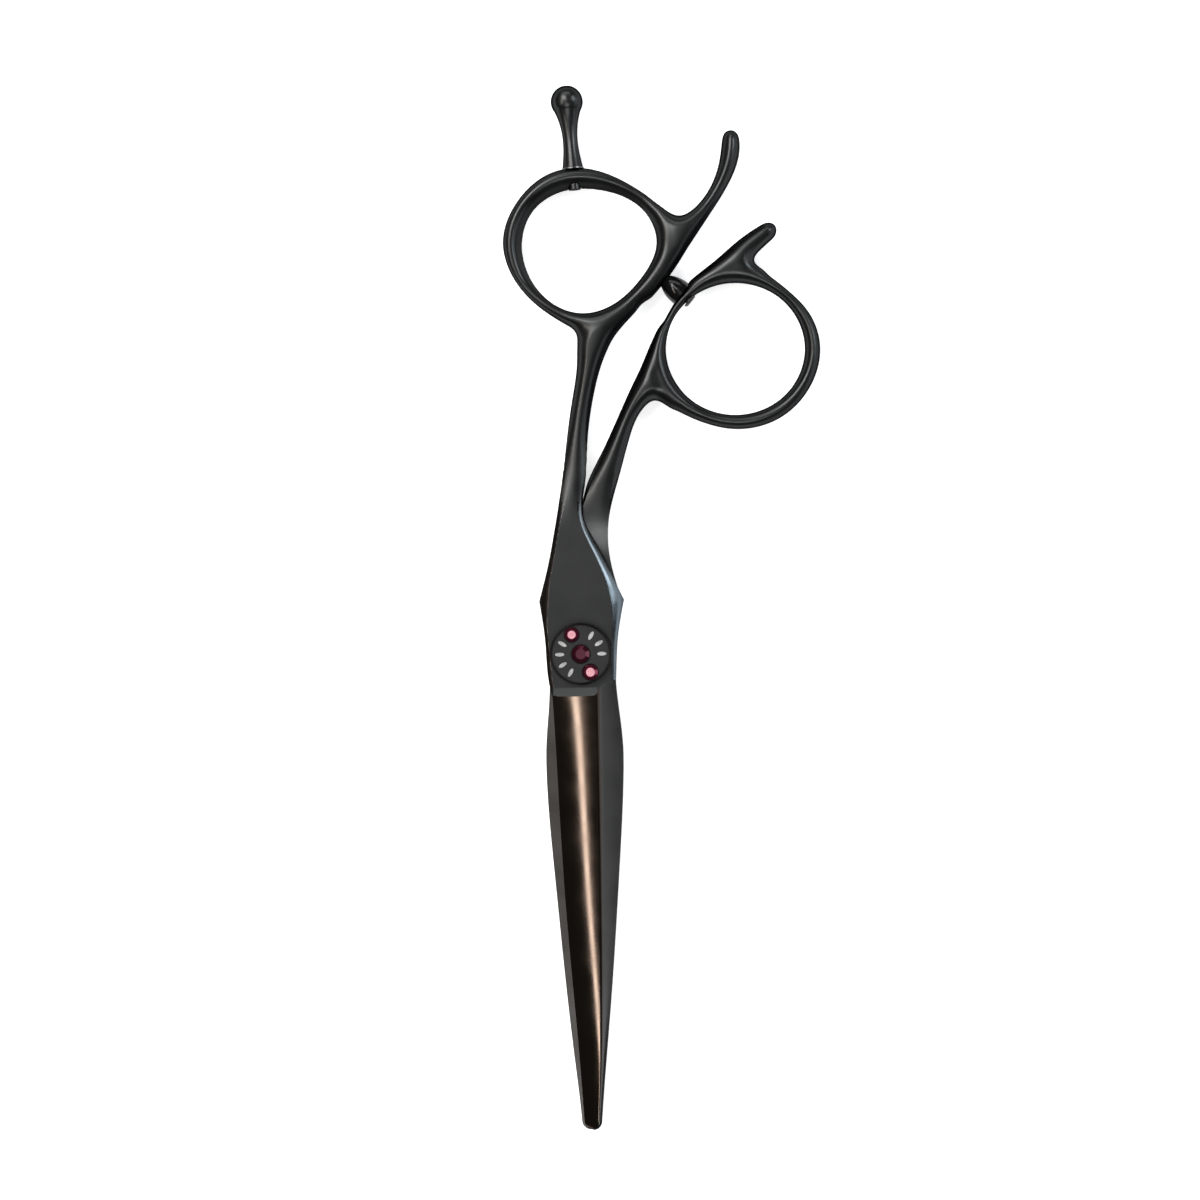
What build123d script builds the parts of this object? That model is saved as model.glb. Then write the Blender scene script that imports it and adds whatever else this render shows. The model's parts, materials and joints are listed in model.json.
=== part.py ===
from build123d import *
from math import cos, radians, sin
import os

# Hair cutting shears, closed, lying flat with the dial up.
# Millimetres. The pivot axis is Z through the origin, the origin is on the pivot bolt's flat
# rear head, +Y runs towards the finger rings and the points lie towards -Y.
# The finger half is on top at the pivot, and the thumb half is under it.

# ---- driving dimensions: heights -------------------------------------------------------------
MATING_Z = 3.0  # plane on which the halves slide
RIDE_GAP = 0.04  # gap between the halves' flat faces
BLADE_STOCK = 2.4  # thickness of each half at the pivot
RING_DEPTH = 6.0  # depth of the finger rings, which lie on the table
TIP_STOCK = 1.2  # thickness of each blade at its point
EDGE_LAND = 0.15  # thickness left at the cutting edges
FRONT_Z = MATING_Z + BLADE_STOCK
BACK_Z = MATING_Z - BLADE_STOCK
MID_Z = RING_DEPTH / 2

# ---- driving dimensions: blades --------------------------------------------------------------
TIP_Y = -75.3  # the points, measured from the pivot
HEEL_Y = -7.0  # where the ground bevels start
HEEL_X = 4.7  # half width at the heel of a cutting edge
RIDGE_HEEL_X = 2.8  # the ridge between the bevel and the flat back
RIDGE_TIP_X = 1.0
BEVEL_BULGE = 0.22  # crown of the convex bevel
BEVEL_STATIONS = 4
TAPER_Y = -14.0  # where the blades start to thin
HOLLOW_RADIUS = 26.0  # hollow grind of the inner faces
HOLLOW_DEPTH = 0.1
HOLLOW_X = 0.8
HOLLOW_START = 14.0
HOLLOW_LENGTH = 46.0

# ---- driving dimensions: shanks --------------------------------------------------------------
NOTCH_Y = 27.0  # where the shanks part
FULL_Y = 37.0  # where a shank has its full thickness
SHANK_STOCK = 4.8
RAMP_LOW_Y = 12.0  # foot of the thumb shank's ramp, beside the crossing
HANDLE_Y = 28.0  # the rounded handles start here, above the notch
JOIN_Y = 30.0  # the flat fronts end here, inside the handles
FINGER_ROUND = 0.8  # rounding of the finger ring
THUMB_ROUND = 0.6  # rounding of the slimmer thumb ring
SHANK_ROUND = 1.0
HORN_ROUND = 1.0
CLEAR = 0.12  # side clearance between the halves
THUMB_CENTRE = (25.5, 47.65)
THUMB_HALF_SIZE = (11.0, 10.45)  # half width and half height of the thumb ring's opening
FINGER_HORN_TIP = (25.48, 80.9)  # centres of the horns' round ends
THUMB_HORN_TIP = (31.1, 66.2)
HORN_TIP_RADIUS = 1.42

# ---- driving dimensions: pivot ---------------------------------------------------------------
BOLT_HEAD_RADIUS = 4.0
BOLT_HEAD_HEIGHT = 1.0
BOLT_RADIUS = 2.0
BOLT_SQUARE = 4.2  # square neck that keys the bolt in the thumb half
BOLT_THREAD_RADIUS = 1.5
BOLT_HEAD_CHAMFER = 0.2
BOLT_FLATS = 2.4  # across the flats of the threaded end
BOLT_TOP_Z = 6.5
RUNNING = 0.04  # radial running clearance
SEAT = 0.02  # clearance of a seated piece in its pocket
BUSH_RADIUS = 2.9
SPRING_Z = 5.5  # top of the upper race, where the click spring lies
POCKET_RADIUS = 4.2  # bearing pocket in the finger half
POCKET_FLOOR_Z = 4.3
RACE_STOCK = 0.2
RACE_RADIUS = 4.1
BALL_RADIUS = 0.39
BALL_CIRCLE = 3.1
BALL_COUNT = 8
CAGE_STOCK = 0.4
CAGE_RADIUS = 3.9
SPRING_STOCK = 0.2
SPRING_RADIUS = 3.9
ARM_SLOT_CIRCLE = 2.6
ARM_SLOT_WIDTH = 0.35
NIB_RADIUS = 0.25
NIB_HEIGHT = 0.22
NIB_CIRCLE = 3.25
NIB_TRACK_DEPTH = 0.1

# ---- driving dimensions: dial and gems ---------------------------------------------------------
DIAL_RADIUS = 4.9
DIAL_FOOT_Z = 5.52
DIAL_TOP_Z = 7.4
DIAL_TEETH = 48
TOOTH_CUT = 0.2
DIAL_CHAMFER = 0.35
DIAL_CAVITY_RADIUS = 4.15
DIAL_CAVITY_Z = 5.85
CLICK_NOTCHES = 12
CAP_RADIUS = 4.42
CAP_STOCK = 0.25
LEAF_CIRCLE = 3.3
LEAF_SIZE = (0.72, 0.3)  # half length and half width
LEAF_ANGLES = (0, 30, 60, 150, 180, 210, 240)
LEAF_DEPTH = 0.06
BEZEL_WALL = 0.14
BEZEL_TOP_Z = 7.5
GEM_SEAT_Z = 6.85
GEM_GIRDLE_Z = 7.45
GIRDLE_STOCK = 0.12
GEM_TOP_Z = 7.85
GEM_SIDES = 16
CENTRE_GEM_RADIUS = 1.4
UPPER_GEM_RADIUS = 1.1
LOWER_GEM_RADIUS = 1.2
UPPER_GEM_POLAR = (3.35, 114.0)  # distance from the pivot, degrees from +X
LOWER_GEM_POLAR = (3.2, -63.0)

# ---- driving dimensions: finger rest and bumper ------------------------------------------------
REST_BASE = (0.42, 76.5)  # where the rest meets the finger ring
REST_LEAN = 3.9  # degrees from +Y towards -X
REST_BALL_RADIUS = 2.55
REST_BALL_START = -34.0  # angle below the ball's centre at which the neck meets it
REST_LENGTH = 10.85  # from its foot to the ball's centre
REST_NECK_RADIUS = 1.2
REST_FOOT_RADIUS = 1.65
REST_STUD_RADIUS = 1.0
RING_WALL = 3.1  # finger ring wall that the stud passes through
WASHER_STOCK = 0.35
WASHER_RADIUS = 1.75
BUMPER_BASE = (17.25, 56.5)  # where the bumper meets the thumb ring
BUMPER_ANGLE = 140.0  # degrees from +X
BUMPER_LENGTH = 3.65
BUMPER_RADIUS = 2.0
BUMPER_PIN_RADIUS = 0.75
BUMPER_PIN_REACH = 2.0  # how far the pin enters the rubber
THUMB_WALL = 1.45  # thumb ring wall that the pin passes through
PLUG_HEAD_RADIUS = 1.2
PLUG_HEAD_STOCK = 0.45

os.makedirs("parts", exist_ok=True)


def write(piece, name):
    piece.part.label = name
    export_step(piece.part, f"parts/{name}.step")


def polar_point(polar):
    distance, angle = polar
    return (distance * cos(radians(angle)), distance * sin(radians(angle)))


# ---- plan outlines -----------------------------------------------------------------------------
# The flat front of the finger half: spine, bolster, shank to above the notch, and cutting edge.
with BuildSketch() as finger_plan:
    with BuildLine():
        spine = Spline((1.35, -74.6), (3.6, -54.6), (5.3, -34.6), (6.3, -19.5), (6.35, -14.5))
        waist = Spline(spine @ 1, (5.7, -6.0), (5.65, -2.5), (5.9, 2.5), tangents=[spine % 1, (0.09, 1)])
        corner = Line(waist @ 1, (7.0, 8.4))
        crossing = Spline(corner @ 1, (5.6, 11.3), (2.6, 17.2), (0.8, 21.5), (1.4, NOTCH_Y), (1.55, JOIN_Y))
        join = Line(crossing @ 1, (-2.0, JOIN_Y))
        outer_shank = Spline(join @ 1, (-3.7, 19.8), (-5.0, 13.5), (-6.4, 8.4))
        outer_waist = Spline(outer_shank @ 1, (-5.55, 1.5), (-5.2, -4.0), (-HEEL_X, HEEL_Y))
        edge = Spline(outer_waist @ 1, (-4.1, -20.5), (-3.32, -39.0), (-2.25, -54.9), (-0.5, -74.3))
        ThreePointArc(edge @ 1, (0.35, TIP_Y), spine @ 0)
    make_face()

# The flat front of the thumb half: its blade mirrors the other, and its shank leans to +X.
with BuildSketch() as thumb_plan:
    with BuildLine():
        spine = Spline((-0.9, -74.9), (-3.3, -54.9), (-4.9, -35.1), (-5.85, -19.5), (-5.8, -14.5))
        waist = Spline(spine @ 1, (-5.2, -6.0), (-5.2, -2.5), (-5.5, 2.5), tangents=[spine % 1, (-0.09, 1)])
        corner = Line(waist @ 1, (-6.2, 8.4))
        crossing = Spline(corner @ 1, (-4.9, 11.3), (-2.0, 17.2), (0.2, 22.0), (1.62, NOTCH_Y), (3.1, JOIN_Y))
        join = Line(crossing @ 1, (7.2, JOIN_Y))
        outer_shank = Spline(join @ 1, (4.95, 21.5), (4.7, 17.5), (5.6, 12.0), (6.6, 8.6))
        outer_waist = Spline(outer_shank @ 1, (5.5, 1.5), (5.2, -4.0), (HEEL_X, HEEL_Y))
        edge = Spline(outer_waist @ 1, (4.2, -20.5), (3.45, -39.0), (2.5, -54.9), (1.0, -74.4))
        ThreePointArc(edge @ 1, (0.1, TIP_Y), spine @ 0)
    make_face()

# The finger ring is egg-shaped, inside and out.
with BuildSketch() as finger_ring:
    with BuildLine():
        Spline(
            (16.4, 65.2), (14.4, 69.9), (10.0, 73.6), (3.5, 76.5), (-2.8, 76.2), (-8.2, 72.1),
            (-10.95, 65.2), (-8.5, 58.2), (-2.9, 53.1), (2.6, 50.9), (8.6, 53.3), (13.6, 58.3),
            periodic=True,
        )
    make_face()
    with BuildLine():
        Spline(
            (13.4, 65.0), (11.3, 70.0), (4.8, 73.2), (-1.4, 73.1), (-6.0, 70.2), (-7.9, 64.6),
            (-6.0, 58.3), (-2.0, 54.7), (1.6, 53.8), (6.1, 55.0), (10.6, 58.9),
            periodic=True,
        )
    make_face(mode=Mode.SUBTRACT)

# Curves are rounded over, and the straight lines are where a piece is cut off inside another.
with BuildSketch() as finger_shank:
    with BuildLine():
        right = Spline((1.5, HANDLE_Y), (1.75, 33.0), (2.8, 40.3), (5.1, 47.9), (9.7, 54.3))
        cap = Line(right @ 1, (2.0, 52.3))
        left = Spline(cap @ 1, (0.8, 50.3), (0.4, 46.5), (-0.6, 39.7), (-2.3, HANDLE_Y))
        Line(left @ 1, right @ 0)
    make_face()

with BuildSketch() as finger_horn:
    with BuildLine():
        flank = Spline(
            (12.0, 56.6), (16.3, 61.2), (21.0, 67.7), (24.9, 74.0), (FINGER_HORN_TIP[0] + HORN_TIP_RADIUS, 80.9),
            tangents=[(1, 1), (0, 1)],
        )
        tip = CenterArc(FINGER_HORN_TIP, HORN_TIP_RADIUS, 0, 180)
        hollow = Spline(tip @ 1, (23.0, 75.7), (20.7, 71.3), (16.9, 68.75), (14.8, 69.9), tangents=[(0, -1), (-1, 1)])
        Polyline(hollow @ 1, (14.9, 64.0), flank @ 0)
    make_face()

# The thumb ring is slightly oval, with its band drawn in beside the bumper.
with BuildSketch() as thumb_ring:
    with BuildLine():
        Spline(
            (38.95, 47.4), (37.4, 52.9), (33.8, 56.9), (28.6, 60.2), (22.8, 60.0), (17.2, 56.6),
            (14.1, 51.9), (12.3, 46.0), (13.4, 40.8), (19.2, 36.5), (25.6, 34.95), (32.4, 36.6), (37.2, 41.4),
            periodic=True,
        )
    make_face()
    with BuildLine():
        turns = [radians(45 * step) for step in range(8)]
        across, along = THUMB_HALF_SIZE
        Spline(
            [(THUMB_CENTRE[0] + across * cos(turn), THUMB_CENTRE[1] + along * sin(turn)) for turn in turns],
            periodic=True,
        )
    make_face(mode=Mode.SUBTRACT)

with BuildSketch() as thumb_shank:
    with BuildLine():
        left = Spline(
            (2.15, HANDLE_Y), (3.4, 30.6), (7.9, 39.9), (11.5, 46.9), (13.1, 49.6), tangents=[(0.45, 1), (0.5, 0.86)]
        )
        cap = Polyline(left @ 1, (13.4, 44.0), (16.2, 38.4))
        crook = Spline(cap @ 1, (12.7, 39.9), (10.7, 38.3), tangents=[(-1, 0.5), (-0.55, -1)])
        right = Spline(crook @ 1, (8.4, 33.8), (6.7, HANDLE_Y), tangents=[crook % 1, (-0.25, -1)])
        Line(right @ 1, left @ 0)
    make_face()

with BuildSketch() as thumb_horn:
    with BuildLine():
        lean = radians(40)
        lift = (-sin(lean) * HORN_TIP_RADIUS, cos(lean) * HORN_TIP_RADIUS)
        reach = (cos(lean) * HORN_TIP_RADIUS, sin(lean) * HORN_TIP_RADIUS)
        top_end = (THUMB_HORN_TIP[0] + lift[0], THUMB_HORN_TIP[1] + lift[1])
        far_end = (THUMB_HORN_TIP[0] + reach[0], THUMB_HORN_TIP[1] + reach[1])
        low_end = (THUMB_HORN_TIP[0] - lift[0], THUMB_HORN_TIP[1] - lift[1])
        top = Spline((18.9, 58.1), (23.7, 62.6), (27.6, 65.7), top_end, tangents=[(1, 1.1), reach])
        tip = ThreePointArc(top @ 1, far_end, low_end)
        under = Spline(tip @ 1, (29.8, 63.2), (28.5, 61.3), (29.6, 59.6), tangents=[(-reach[0], -reach[1]), (1, -0.8)])
        Polyline(under @ 1, (25.5, 59.2), (21.6, 58.1), top @ 0)
    make_face()

# ---- side profiles -------------------------------------------------------------------------------
# Drawn with Y across and Z up, for the handles only. Each is longer than its handle at both ends.
HIGH_Y = 92.0
LOW_Y = 0.0
with BuildSketch() as finger_side:
    with BuildLine():
        flat = Line((LOW_Y, MATING_Z + RIDE_GAP / 2), (HANDLE_Y + 0.2, MATING_Z + RIDE_GAP / 2))
        down = Spline(flat @ 1, (FULL_Y, MID_Z - SHANK_STOCK / 2), (54.0, 0.0), tangents=[(1, -0.1), (1, 0)])
        foot = Line(down @ 1, (HIGH_Y, 0.0))
        back = Line(foot @ 1, (HIGH_Y, RING_DEPTH))
        head = Line(back @ 1, (54.0, RING_DEPTH))
        up = Spline(head @ 1, (42.0, MID_Z + SHANK_STOCK / 2), (30.0, FRONT_Z), tangents=[(-1, 0), (-1, 0)])
        deck = Line(up @ 1, (LOW_Y, FRONT_Z))
        Line(deck @ 1, flat @ 0)
    make_face()

with BuildSketch() as thumb_side:
    with BuildLine():
        flat = Line((LOW_Y, MATING_Z - RIDE_GAP / 2), (RAMP_LOW_Y, MATING_Z - RIDE_GAP / 2))
        ramp = Spline(
            flat @ 1, (20.0, 3.9), (29.0, MID_Z + SHANK_STOCK / 2), (42.0, RING_DEPTH), tangents=[(1, 0), (1, 0)]
        )
        head = Line(ramp @ 1, (HIGH_Y, RING_DEPTH))
        back = Line(head @ 1, (HIGH_Y, 0.0))
        foot = Line(back @ 1, (42.0, 0.0))
        rise = Spline(foot @ 1, (33.0, MID_Z - SHANK_STOCK / 2), (22.0, BACK_Z), tangents=[(-1, 0), (-1, 0)])
        deck = Line(rise @ 1, (LOW_Y, BACK_Z))
        Line(deck @ 1, flat @ 0)
    make_face()

# The finger half's plan, moved over by the side clearance, frees the thumb half at the crossing.
with BuildSketch() as finger_room:
    with Locations((CLEAR, CLEAR)):
        add(finger_plan.sketch)


# ---- grinding cutters ----------------------------------------------------------------------------
# side is 1 on the finger half, whose outer face is up, and -1 on the thumb half.
def bevel_section(side, reach):
    """Section of the metal ground off a blade: reach runs from 0 at the heel to 1 at the point."""
    edge_x = side * (HEEL_X - 4.2 * reach + 1.1 * reach * (1 - reach))
    ridge_x = side * (RIDGE_HEEL_X + (RIDGE_TIP_X - RIDGE_HEEL_X) * reach)
    stock = BLADE_STOCK + (TIP_STOCK - BLADE_STOCK) * reach + 0.45 * reach * (1 - reach)
    edge_z = MATING_Z + side * EDGE_LAND
    ridge_z = MATING_Z + side * stock
    crown = ((ridge_x - edge_x) / 2 - side * BEVEL_BULGE / 2, (edge_z + ridge_z) / 2 + side * BEVEL_BULGE)
    beyond_x = -edge_x - side * 2
    beyond_z = MATING_Z + side * (BLADE_STOCK + 1)
    station_y = HEEL_Y + (TIP_Y - 1 - HEEL_Y) * reach
    with BuildSketch(Plane.XZ.offset(-station_y)) as section:
        with BuildLine():
            ThreePointArc((ridge_x, ridge_z), crown, (-edge_x, edge_z))
            Polyline(
                (-edge_x, edge_z), (beyond_x, edge_z), (beyond_x, beyond_z), (ridge_x, beyond_z), (ridge_x, ridge_z)
            )
        make_face()
    return section.sketch


def bevel_cutter(side):
    """The metal ground off the outer face of a blade to make its convex bevel."""
    sections = [bevel_section(side, step / BEVEL_STATIONS) for step in range(BEVEL_STATIONS + 1)]
    with BuildPart() as cutter:
        loft(sections=sections)
    return cutter.part


def hollow_cutter(side):
    """The shallow hollow ground along the inner face of a blade."""
    centre_z = MATING_Z + side * (RIDE_GAP / 2 + HOLLOW_DEPTH - HOLLOW_RADIUS)
    with BuildPart() as cutter:
        with BuildSketch(Plane.XZ.offset(HOLLOW_START)):
            with Locations((side * HOLLOW_X, centre_z)):
                Circle(HOLLOW_RADIUS)
        extrude(amount=HOLLOW_LENGTH)
    return cutter.part


def taper_cutter(side):
    """The metal ground off the outer face of a blade towards its point."""
    outer_z = MATING_Z + side * BLADE_STOCK
    with BuildPart() as cutter:
        with BuildSketch(Plane.YZ.offset(-12)):
            with BuildLine():
                start = (TAPER_Y, outer_z)
                end = (TIP_Y - 1, MATING_Z + side * TIP_STOCK)
                taper = Spline(start, end, tangents=[(-1, 0), (-1, -side * 0.022)])
                Polyline(taper @ 1, (end[0], outer_z + side), (TAPER_Y, outer_z + side), start)
            make_face()
        extrude(amount=24)
    return cutter.part


def rounded(plan, radius):
    """A piece of handle as deep as the rings, with the curved rims of its plan rounded over."""
    with BuildPart() as piece:
        with BuildSketch():
            add(plan.sketch)
        extrude(amount=RING_DEPTH)
        level = piece.edges().filter_by(lambda edge: edge.bounding_box().size.Z < 0.001)
        fillet(level.filter_by(GeomType.LINE, reverse=True), radius)
    return piece.part


def handle(pieces, side_profile):
    """A whole handle, joined from its rounded pieces and cut to its side profile."""
    with BuildPart() as grip:
        for piece in pieces:
            add(piece)
        with BuildSketch(Plane.YZ.offset(-20)):
            add(side_profile.sketch)
        extrude(amount=60, mode=Mode.INTERSECT)
    return grip.part


def flat_front(plan, side, cutters):
    """The flat front of a half, from the point up to the shank, with its blade ground."""
    with BuildPart() as front:
        with BuildSketch(Plane.XY.offset(MATING_Z + side * RIDE_GAP / 2)):
            add(plan.sketch)
        extrude(amount=side * (BLADE_STOCK - RIDE_GAP / 2))
        for cutter in cutters:
            add(cutter, mode=Mode.SUBTRACT)
    return front.part


def direction(angle):
    """Unit vector in the plan, its angle in degrees from +X."""
    return Vector(cos(radians(angle)), sin(radians(angle)), 0)


def profile_plane(plane):
    """The plane of a turned piece's profile: x is its radius and y its length along the plane's normal."""
    return Plane(origin=plane.origin, x_dir=plane.x_dir, z_dir=-plane.y_dir)


def plane_axis(plane):
    return Axis(plane.origin, plane.z_dir)


rest_plane = Plane(origin=(*REST_BASE, MID_Z), x_dir=(0, 0, 1), z_dir=direction(90 + REST_LEAN))
bumper_plane = Plane(origin=(*BUMPER_BASE, MID_Z), x_dir=(0, 0, 1), z_dir=direction(BUMPER_ANGLE))

finger_handle = handle(
    [rounded(finger_ring, FINGER_ROUND), rounded(finger_shank, SHANK_ROUND), rounded(finger_horn, HORN_ROUND)],
    finger_side,
)
thumb_handle = handle(
    [rounded(thumb_ring, THUMB_ROUND), rounded(thumb_shank, SHANK_ROUND), rounded(thumb_horn, HORN_ROUND)],
    thumb_side,
)
finger_front = flat_front(finger_plan, 1, [bevel_cutter(1), taper_cutter(1), hollow_cutter(1)])
thumb_front = flat_front(thumb_plan, -1, [bevel_cutter(-1), taper_cutter(-1), hollow_cutter(-1)])

# ---- finger_blade --------------------------------------------------------------------------------
with BuildPart() as finger_blade:
    add(finger_handle)
    add(finger_front)
    with BuildSketch(Plane.XY.offset(MATING_Z - 1)):
        Circle(BUSH_RADIUS)
    extrude(amount=BLADE_STOCK + 1, mode=Mode.SUBTRACT)
    with BuildSketch(Plane.XY.offset(POCKET_FLOOR_Z)):
        Circle(POCKET_RADIUS)
    extrude(amount=BLADE_STOCK, mode=Mode.SUBTRACT)
    with BuildSketch(rest_plane.offset(-RING_WALL - 1)):
        Circle(REST_STUD_RADIUS + RUNNING)
    extrude(amount=RING_WALL + 1, mode=Mode.SUBTRACT)
    with BuildSketch(rest_plane):
        Circle(WASHER_RADIUS + CLEAR)
    extrude(amount=3, mode=Mode.SUBTRACT)
write(finger_blade, "finger_blade")

# ---- thumb_blade ---------------------------------------------------------------------------------
# The ramp is the part of the shank that climbs beside the finger half's crossing.
with BuildPart() as ramp:
    with BuildSketch(Plane.XY.offset(BACK_Z)):
        add(thumb_plan.sketch)
        with Locations((0, RAMP_LOW_Y - 50)):
            Rectangle(100, 100, mode=Mode.SUBTRACT)
    extrude(amount=SHANK_STOCK)
    with BuildSketch(Plane.YZ.offset(-20)):
        add(thumb_side.sketch)
    extrude(amount=60, mode=Mode.INTERSECT)

with BuildPart() as thumb_blade:
    add(thumb_handle)
    add(thumb_front)
    add(ramp.part)
    with BuildSketch(Plane.XY.offset(MATING_Z - RIDE_GAP / 2)):
        add(finger_room.sketch)
    extrude(amount=RING_DEPTH, mode=Mode.SUBTRACT)
    with BuildSketch():
        Circle(BOLT_HEAD_RADIUS + SEAT)
    extrude(amount=BOLT_HEAD_HEIGHT, mode=Mode.SUBTRACT)
    with BuildSketch():
        Rectangle(BOLT_SQUARE + 2 * SEAT, BOLT_SQUARE + 2 * SEAT)
    extrude(amount=MATING_Z, mode=Mode.SUBTRACT)
    with BuildSketch(bumper_plane.offset(-THUMB_WALL - PLUG_HEAD_STOCK)):
        Circle(BUMPER_PIN_RADIUS + SEAT)
    extrude(amount=THUMB_WALL + PLUG_HEAD_STOCK, mode=Mode.SUBTRACT)
    with BuildSketch(bumper_plane.offset(-THUMB_WALL)):
        Circle(PLUG_HEAD_RADIUS + SEAT)
    extrude(amount=-2, mode=Mode.SUBTRACT)
    with BuildSketch(bumper_plane):
        Circle(BUMPER_RADIUS + SEAT)
    extrude(amount=1.5, mode=Mode.SUBTRACT)
write(thumb_blade, "thumb_blade")

# ---- finger_rest and finger_rest_washer ----------------------------------------------------------
# Turned about its own axis: a stud, a foot, a waisted neck and a ball end.
with BuildPart() as finger_rest:
    with BuildSketch(profile_plane(rest_plane)):
        with BuildLine():
            shaft = Polyline(
                (0, -RING_WALL), (REST_STUD_RADIUS, -RING_WALL),
                (REST_STUD_RADIUS, WASHER_STOCK), (REST_FOOT_RADIUS, WASHER_STOCK),
            )
            ball = CenterArc((0, REST_LENGTH), REST_BALL_RADIUS, REST_BALL_START, 90 - REST_BALL_START)
            Spline(shaft @ 1, (1.27, 3.0), (REST_NECK_RADIUS, 5.2), (1.62, 8.0), ball @ 0)
            Line(ball @ 1, shaft @ 0)
        make_face()
    revolve(axis=plane_axis(rest_plane))
write(finger_rest, "finger_rest")

with BuildPart() as finger_rest_washer:
    with BuildSketch(rest_plane):
        Circle(WASHER_RADIUS)
        Circle(REST_STUD_RADIUS + RUNNING, mode=Mode.SUBTRACT)
    extrude(amount=WASHER_STOCK)
    outer_wall = finger_rest_washer.faces().filter_by(GeomType.CYLINDER).sort_by(SortBy.AREA)[-1]
    chamfer(outer_wall.edges().filter_by(GeomType.CIRCLE), WASHER_STOCK / 4)
write(finger_rest_washer, "finger_rest_washer")

# ---- bumper and bumper_plug ----------------------------------------------------------------------
with BuildPart() as bumper:
    with BuildSketch(profile_plane(bumper_plane)):
        with BuildLine():
            dome = Spline((BUMPER_RADIUS, 0), (1.97, 0.9), (1.7, 2.2), (0.95, BUMPER_LENGTH - 0.1))
            Polyline(dome @ 1, (0.6, BUMPER_LENGTH), (0, BUMPER_LENGTH), (0, 0), dome @ 0)
        make_face()
    revolve(axis=plane_axis(bumper_plane))
    with BuildSketch(bumper_plane):
        Circle(BUMPER_PIN_RADIUS + SEAT)
    extrude(amount=BUMPER_PIN_REACH + SEAT, mode=Mode.SUBTRACT)
write(bumper, "bumper")

with BuildPart() as bumper_plug:
    with BuildSketch(bumper_plane.offset(-THUMB_WALL)):
        Circle(BUMPER_PIN_RADIUS)
    extrude(amount=THUMB_WALL + BUMPER_PIN_REACH)
    with BuildSketch(bumper_plane.offset(-THUMB_WALL - PLUG_HEAD_STOCK)):
        Circle(PLUG_HEAD_RADIUS)
    extrude(amount=PLUG_HEAD_STOCK)
    head = bumper_plug.faces().filter_by(GeomType.PLANE).sort_by(SortBy.AREA)[-1]
    chamfer(head.edges(), PLUG_HEAD_STOCK / 2)
write(bumper_plug, "bumper_plug")

# ---- pivot_bolt ----------------------------------------------------------------------------------
# A flat head let into the back, a square neck in the thumb half, a shaft and a flatted thread end.
with BuildPart() as pivot_bolt:
    with BuildSketch():
        Circle(BOLT_HEAD_RADIUS)
    extrude(amount=BOLT_HEAD_HEIGHT)
    chamfer(pivot_bolt.edges().sort_by(Axis.Z)[0], BOLT_HEAD_CHAMFER)
    with BuildSketch():
        Rectangle(BOLT_SQUARE, BOLT_SQUARE)
    extrude(amount=MATING_Z - RIDE_GAP)
    with BuildSketch():
        Circle(BOLT_RADIUS)
    extrude(amount=SPRING_Z)
    with BuildSketch():
        Circle(BOLT_THREAD_RADIUS)
        Rectangle(BOLT_FLATS, 2 * BOLT_RADIUS, mode=Mode.INTERSECT)
    extrude(amount=BOLT_TOP_Z)
write(pivot_bolt, "pivot_bolt")


# ---- pivot bearing -------------------------------------------------------------------------------
def ring_piece(outer, inner, low_z, high_z):
    """A flat ring about the pivot axis."""
    with BuildPart() as piece:
        with BuildSketch(Plane.XY.offset(low_z)):
            Circle(outer)
            Circle(inner, mode=Mode.SUBTRACT)
        extrude(amount=high_z - low_z)
    return piece


pivot_bush = ring_piece(
    BUSH_RADIUS - SEAT, BOLT_RADIUS + RUNNING, MATING_Z + RIDE_GAP, POCKET_FLOOR_Z + RACE_STOCK
)
write(pivot_bush, "pivot_bush")

lower_race = ring_piece(RACE_RADIUS, BUSH_RADIUS + SEAT, POCKET_FLOOR_Z, POCKET_FLOOR_Z + RACE_STOCK)
write(lower_race, "lower_race")

upper_race = ring_piece(RACE_RADIUS, BOLT_RADIUS + SEAT, SPRING_Z - RACE_STOCK, SPRING_Z)
write(upper_race, "upper_race")

ball_z = (POCKET_FLOOR_Z + SPRING_Z) / 2
with BuildPart() as bearing_balls:
    with Locations((0, 0, ball_z)):
        with PolarLocations(BALL_CIRCLE, BALL_COUNT):
            Sphere(BALL_RADIUS)
write(bearing_balls, "bearing_balls")

with BuildPart() as bearing_cage:
    with BuildSketch(Plane.XY.offset(ball_z - CAGE_STOCK / 2)):
        Circle(CAGE_RADIUS)
        Circle(BOLT_RADIUS + 3 * RUNNING, mode=Mode.SUBTRACT)
        with PolarLocations(BALL_CIRCLE, BALL_COUNT):
            Circle(BALL_RADIUS + RUNNING, mode=Mode.SUBTRACT)
    extrude(amount=CAGE_STOCK)
write(bearing_cage, "bearing_cage")

# ---- click_spring --------------------------------------------------------------------------------
# The bore of the spring, keyed to the bolt's flats.
with BuildSketch() as key_bore:
    Circle(BOLT_THREAD_RADIUS + SEAT)
    Rectangle(BOLT_FLATS + 2 * SEAT, 2 * BOLT_RADIUS, mode=Mode.INTERSECT)

# Two arms cut in a keyed disc carry the nibs that click under the dial.
with BuildPart() as click_spring:
    with BuildSketch(Plane.XY.offset(SPRING_Z)):
        Circle(SPRING_RADIUS)
        add(key_bore.sketch, mode=Mode.SUBTRACT)
        for start in (100, 280):
            SlotArc(CenterArc((0, 0), ARM_SLOT_CIRCLE, start, 130), ARM_SLOT_WIDTH, mode=Mode.SUBTRACT)
    extrude(amount=SPRING_STOCK)
    with BuildSketch(Plane.XY.offset(SPRING_Z)):
        with PolarLocations(NIB_CIRCLE, 2):
            Circle(NIB_RADIUS)
    extrude(amount=SPRING_STOCK + NIB_HEIGHT)
write(click_spring, "click_spring")

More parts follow.
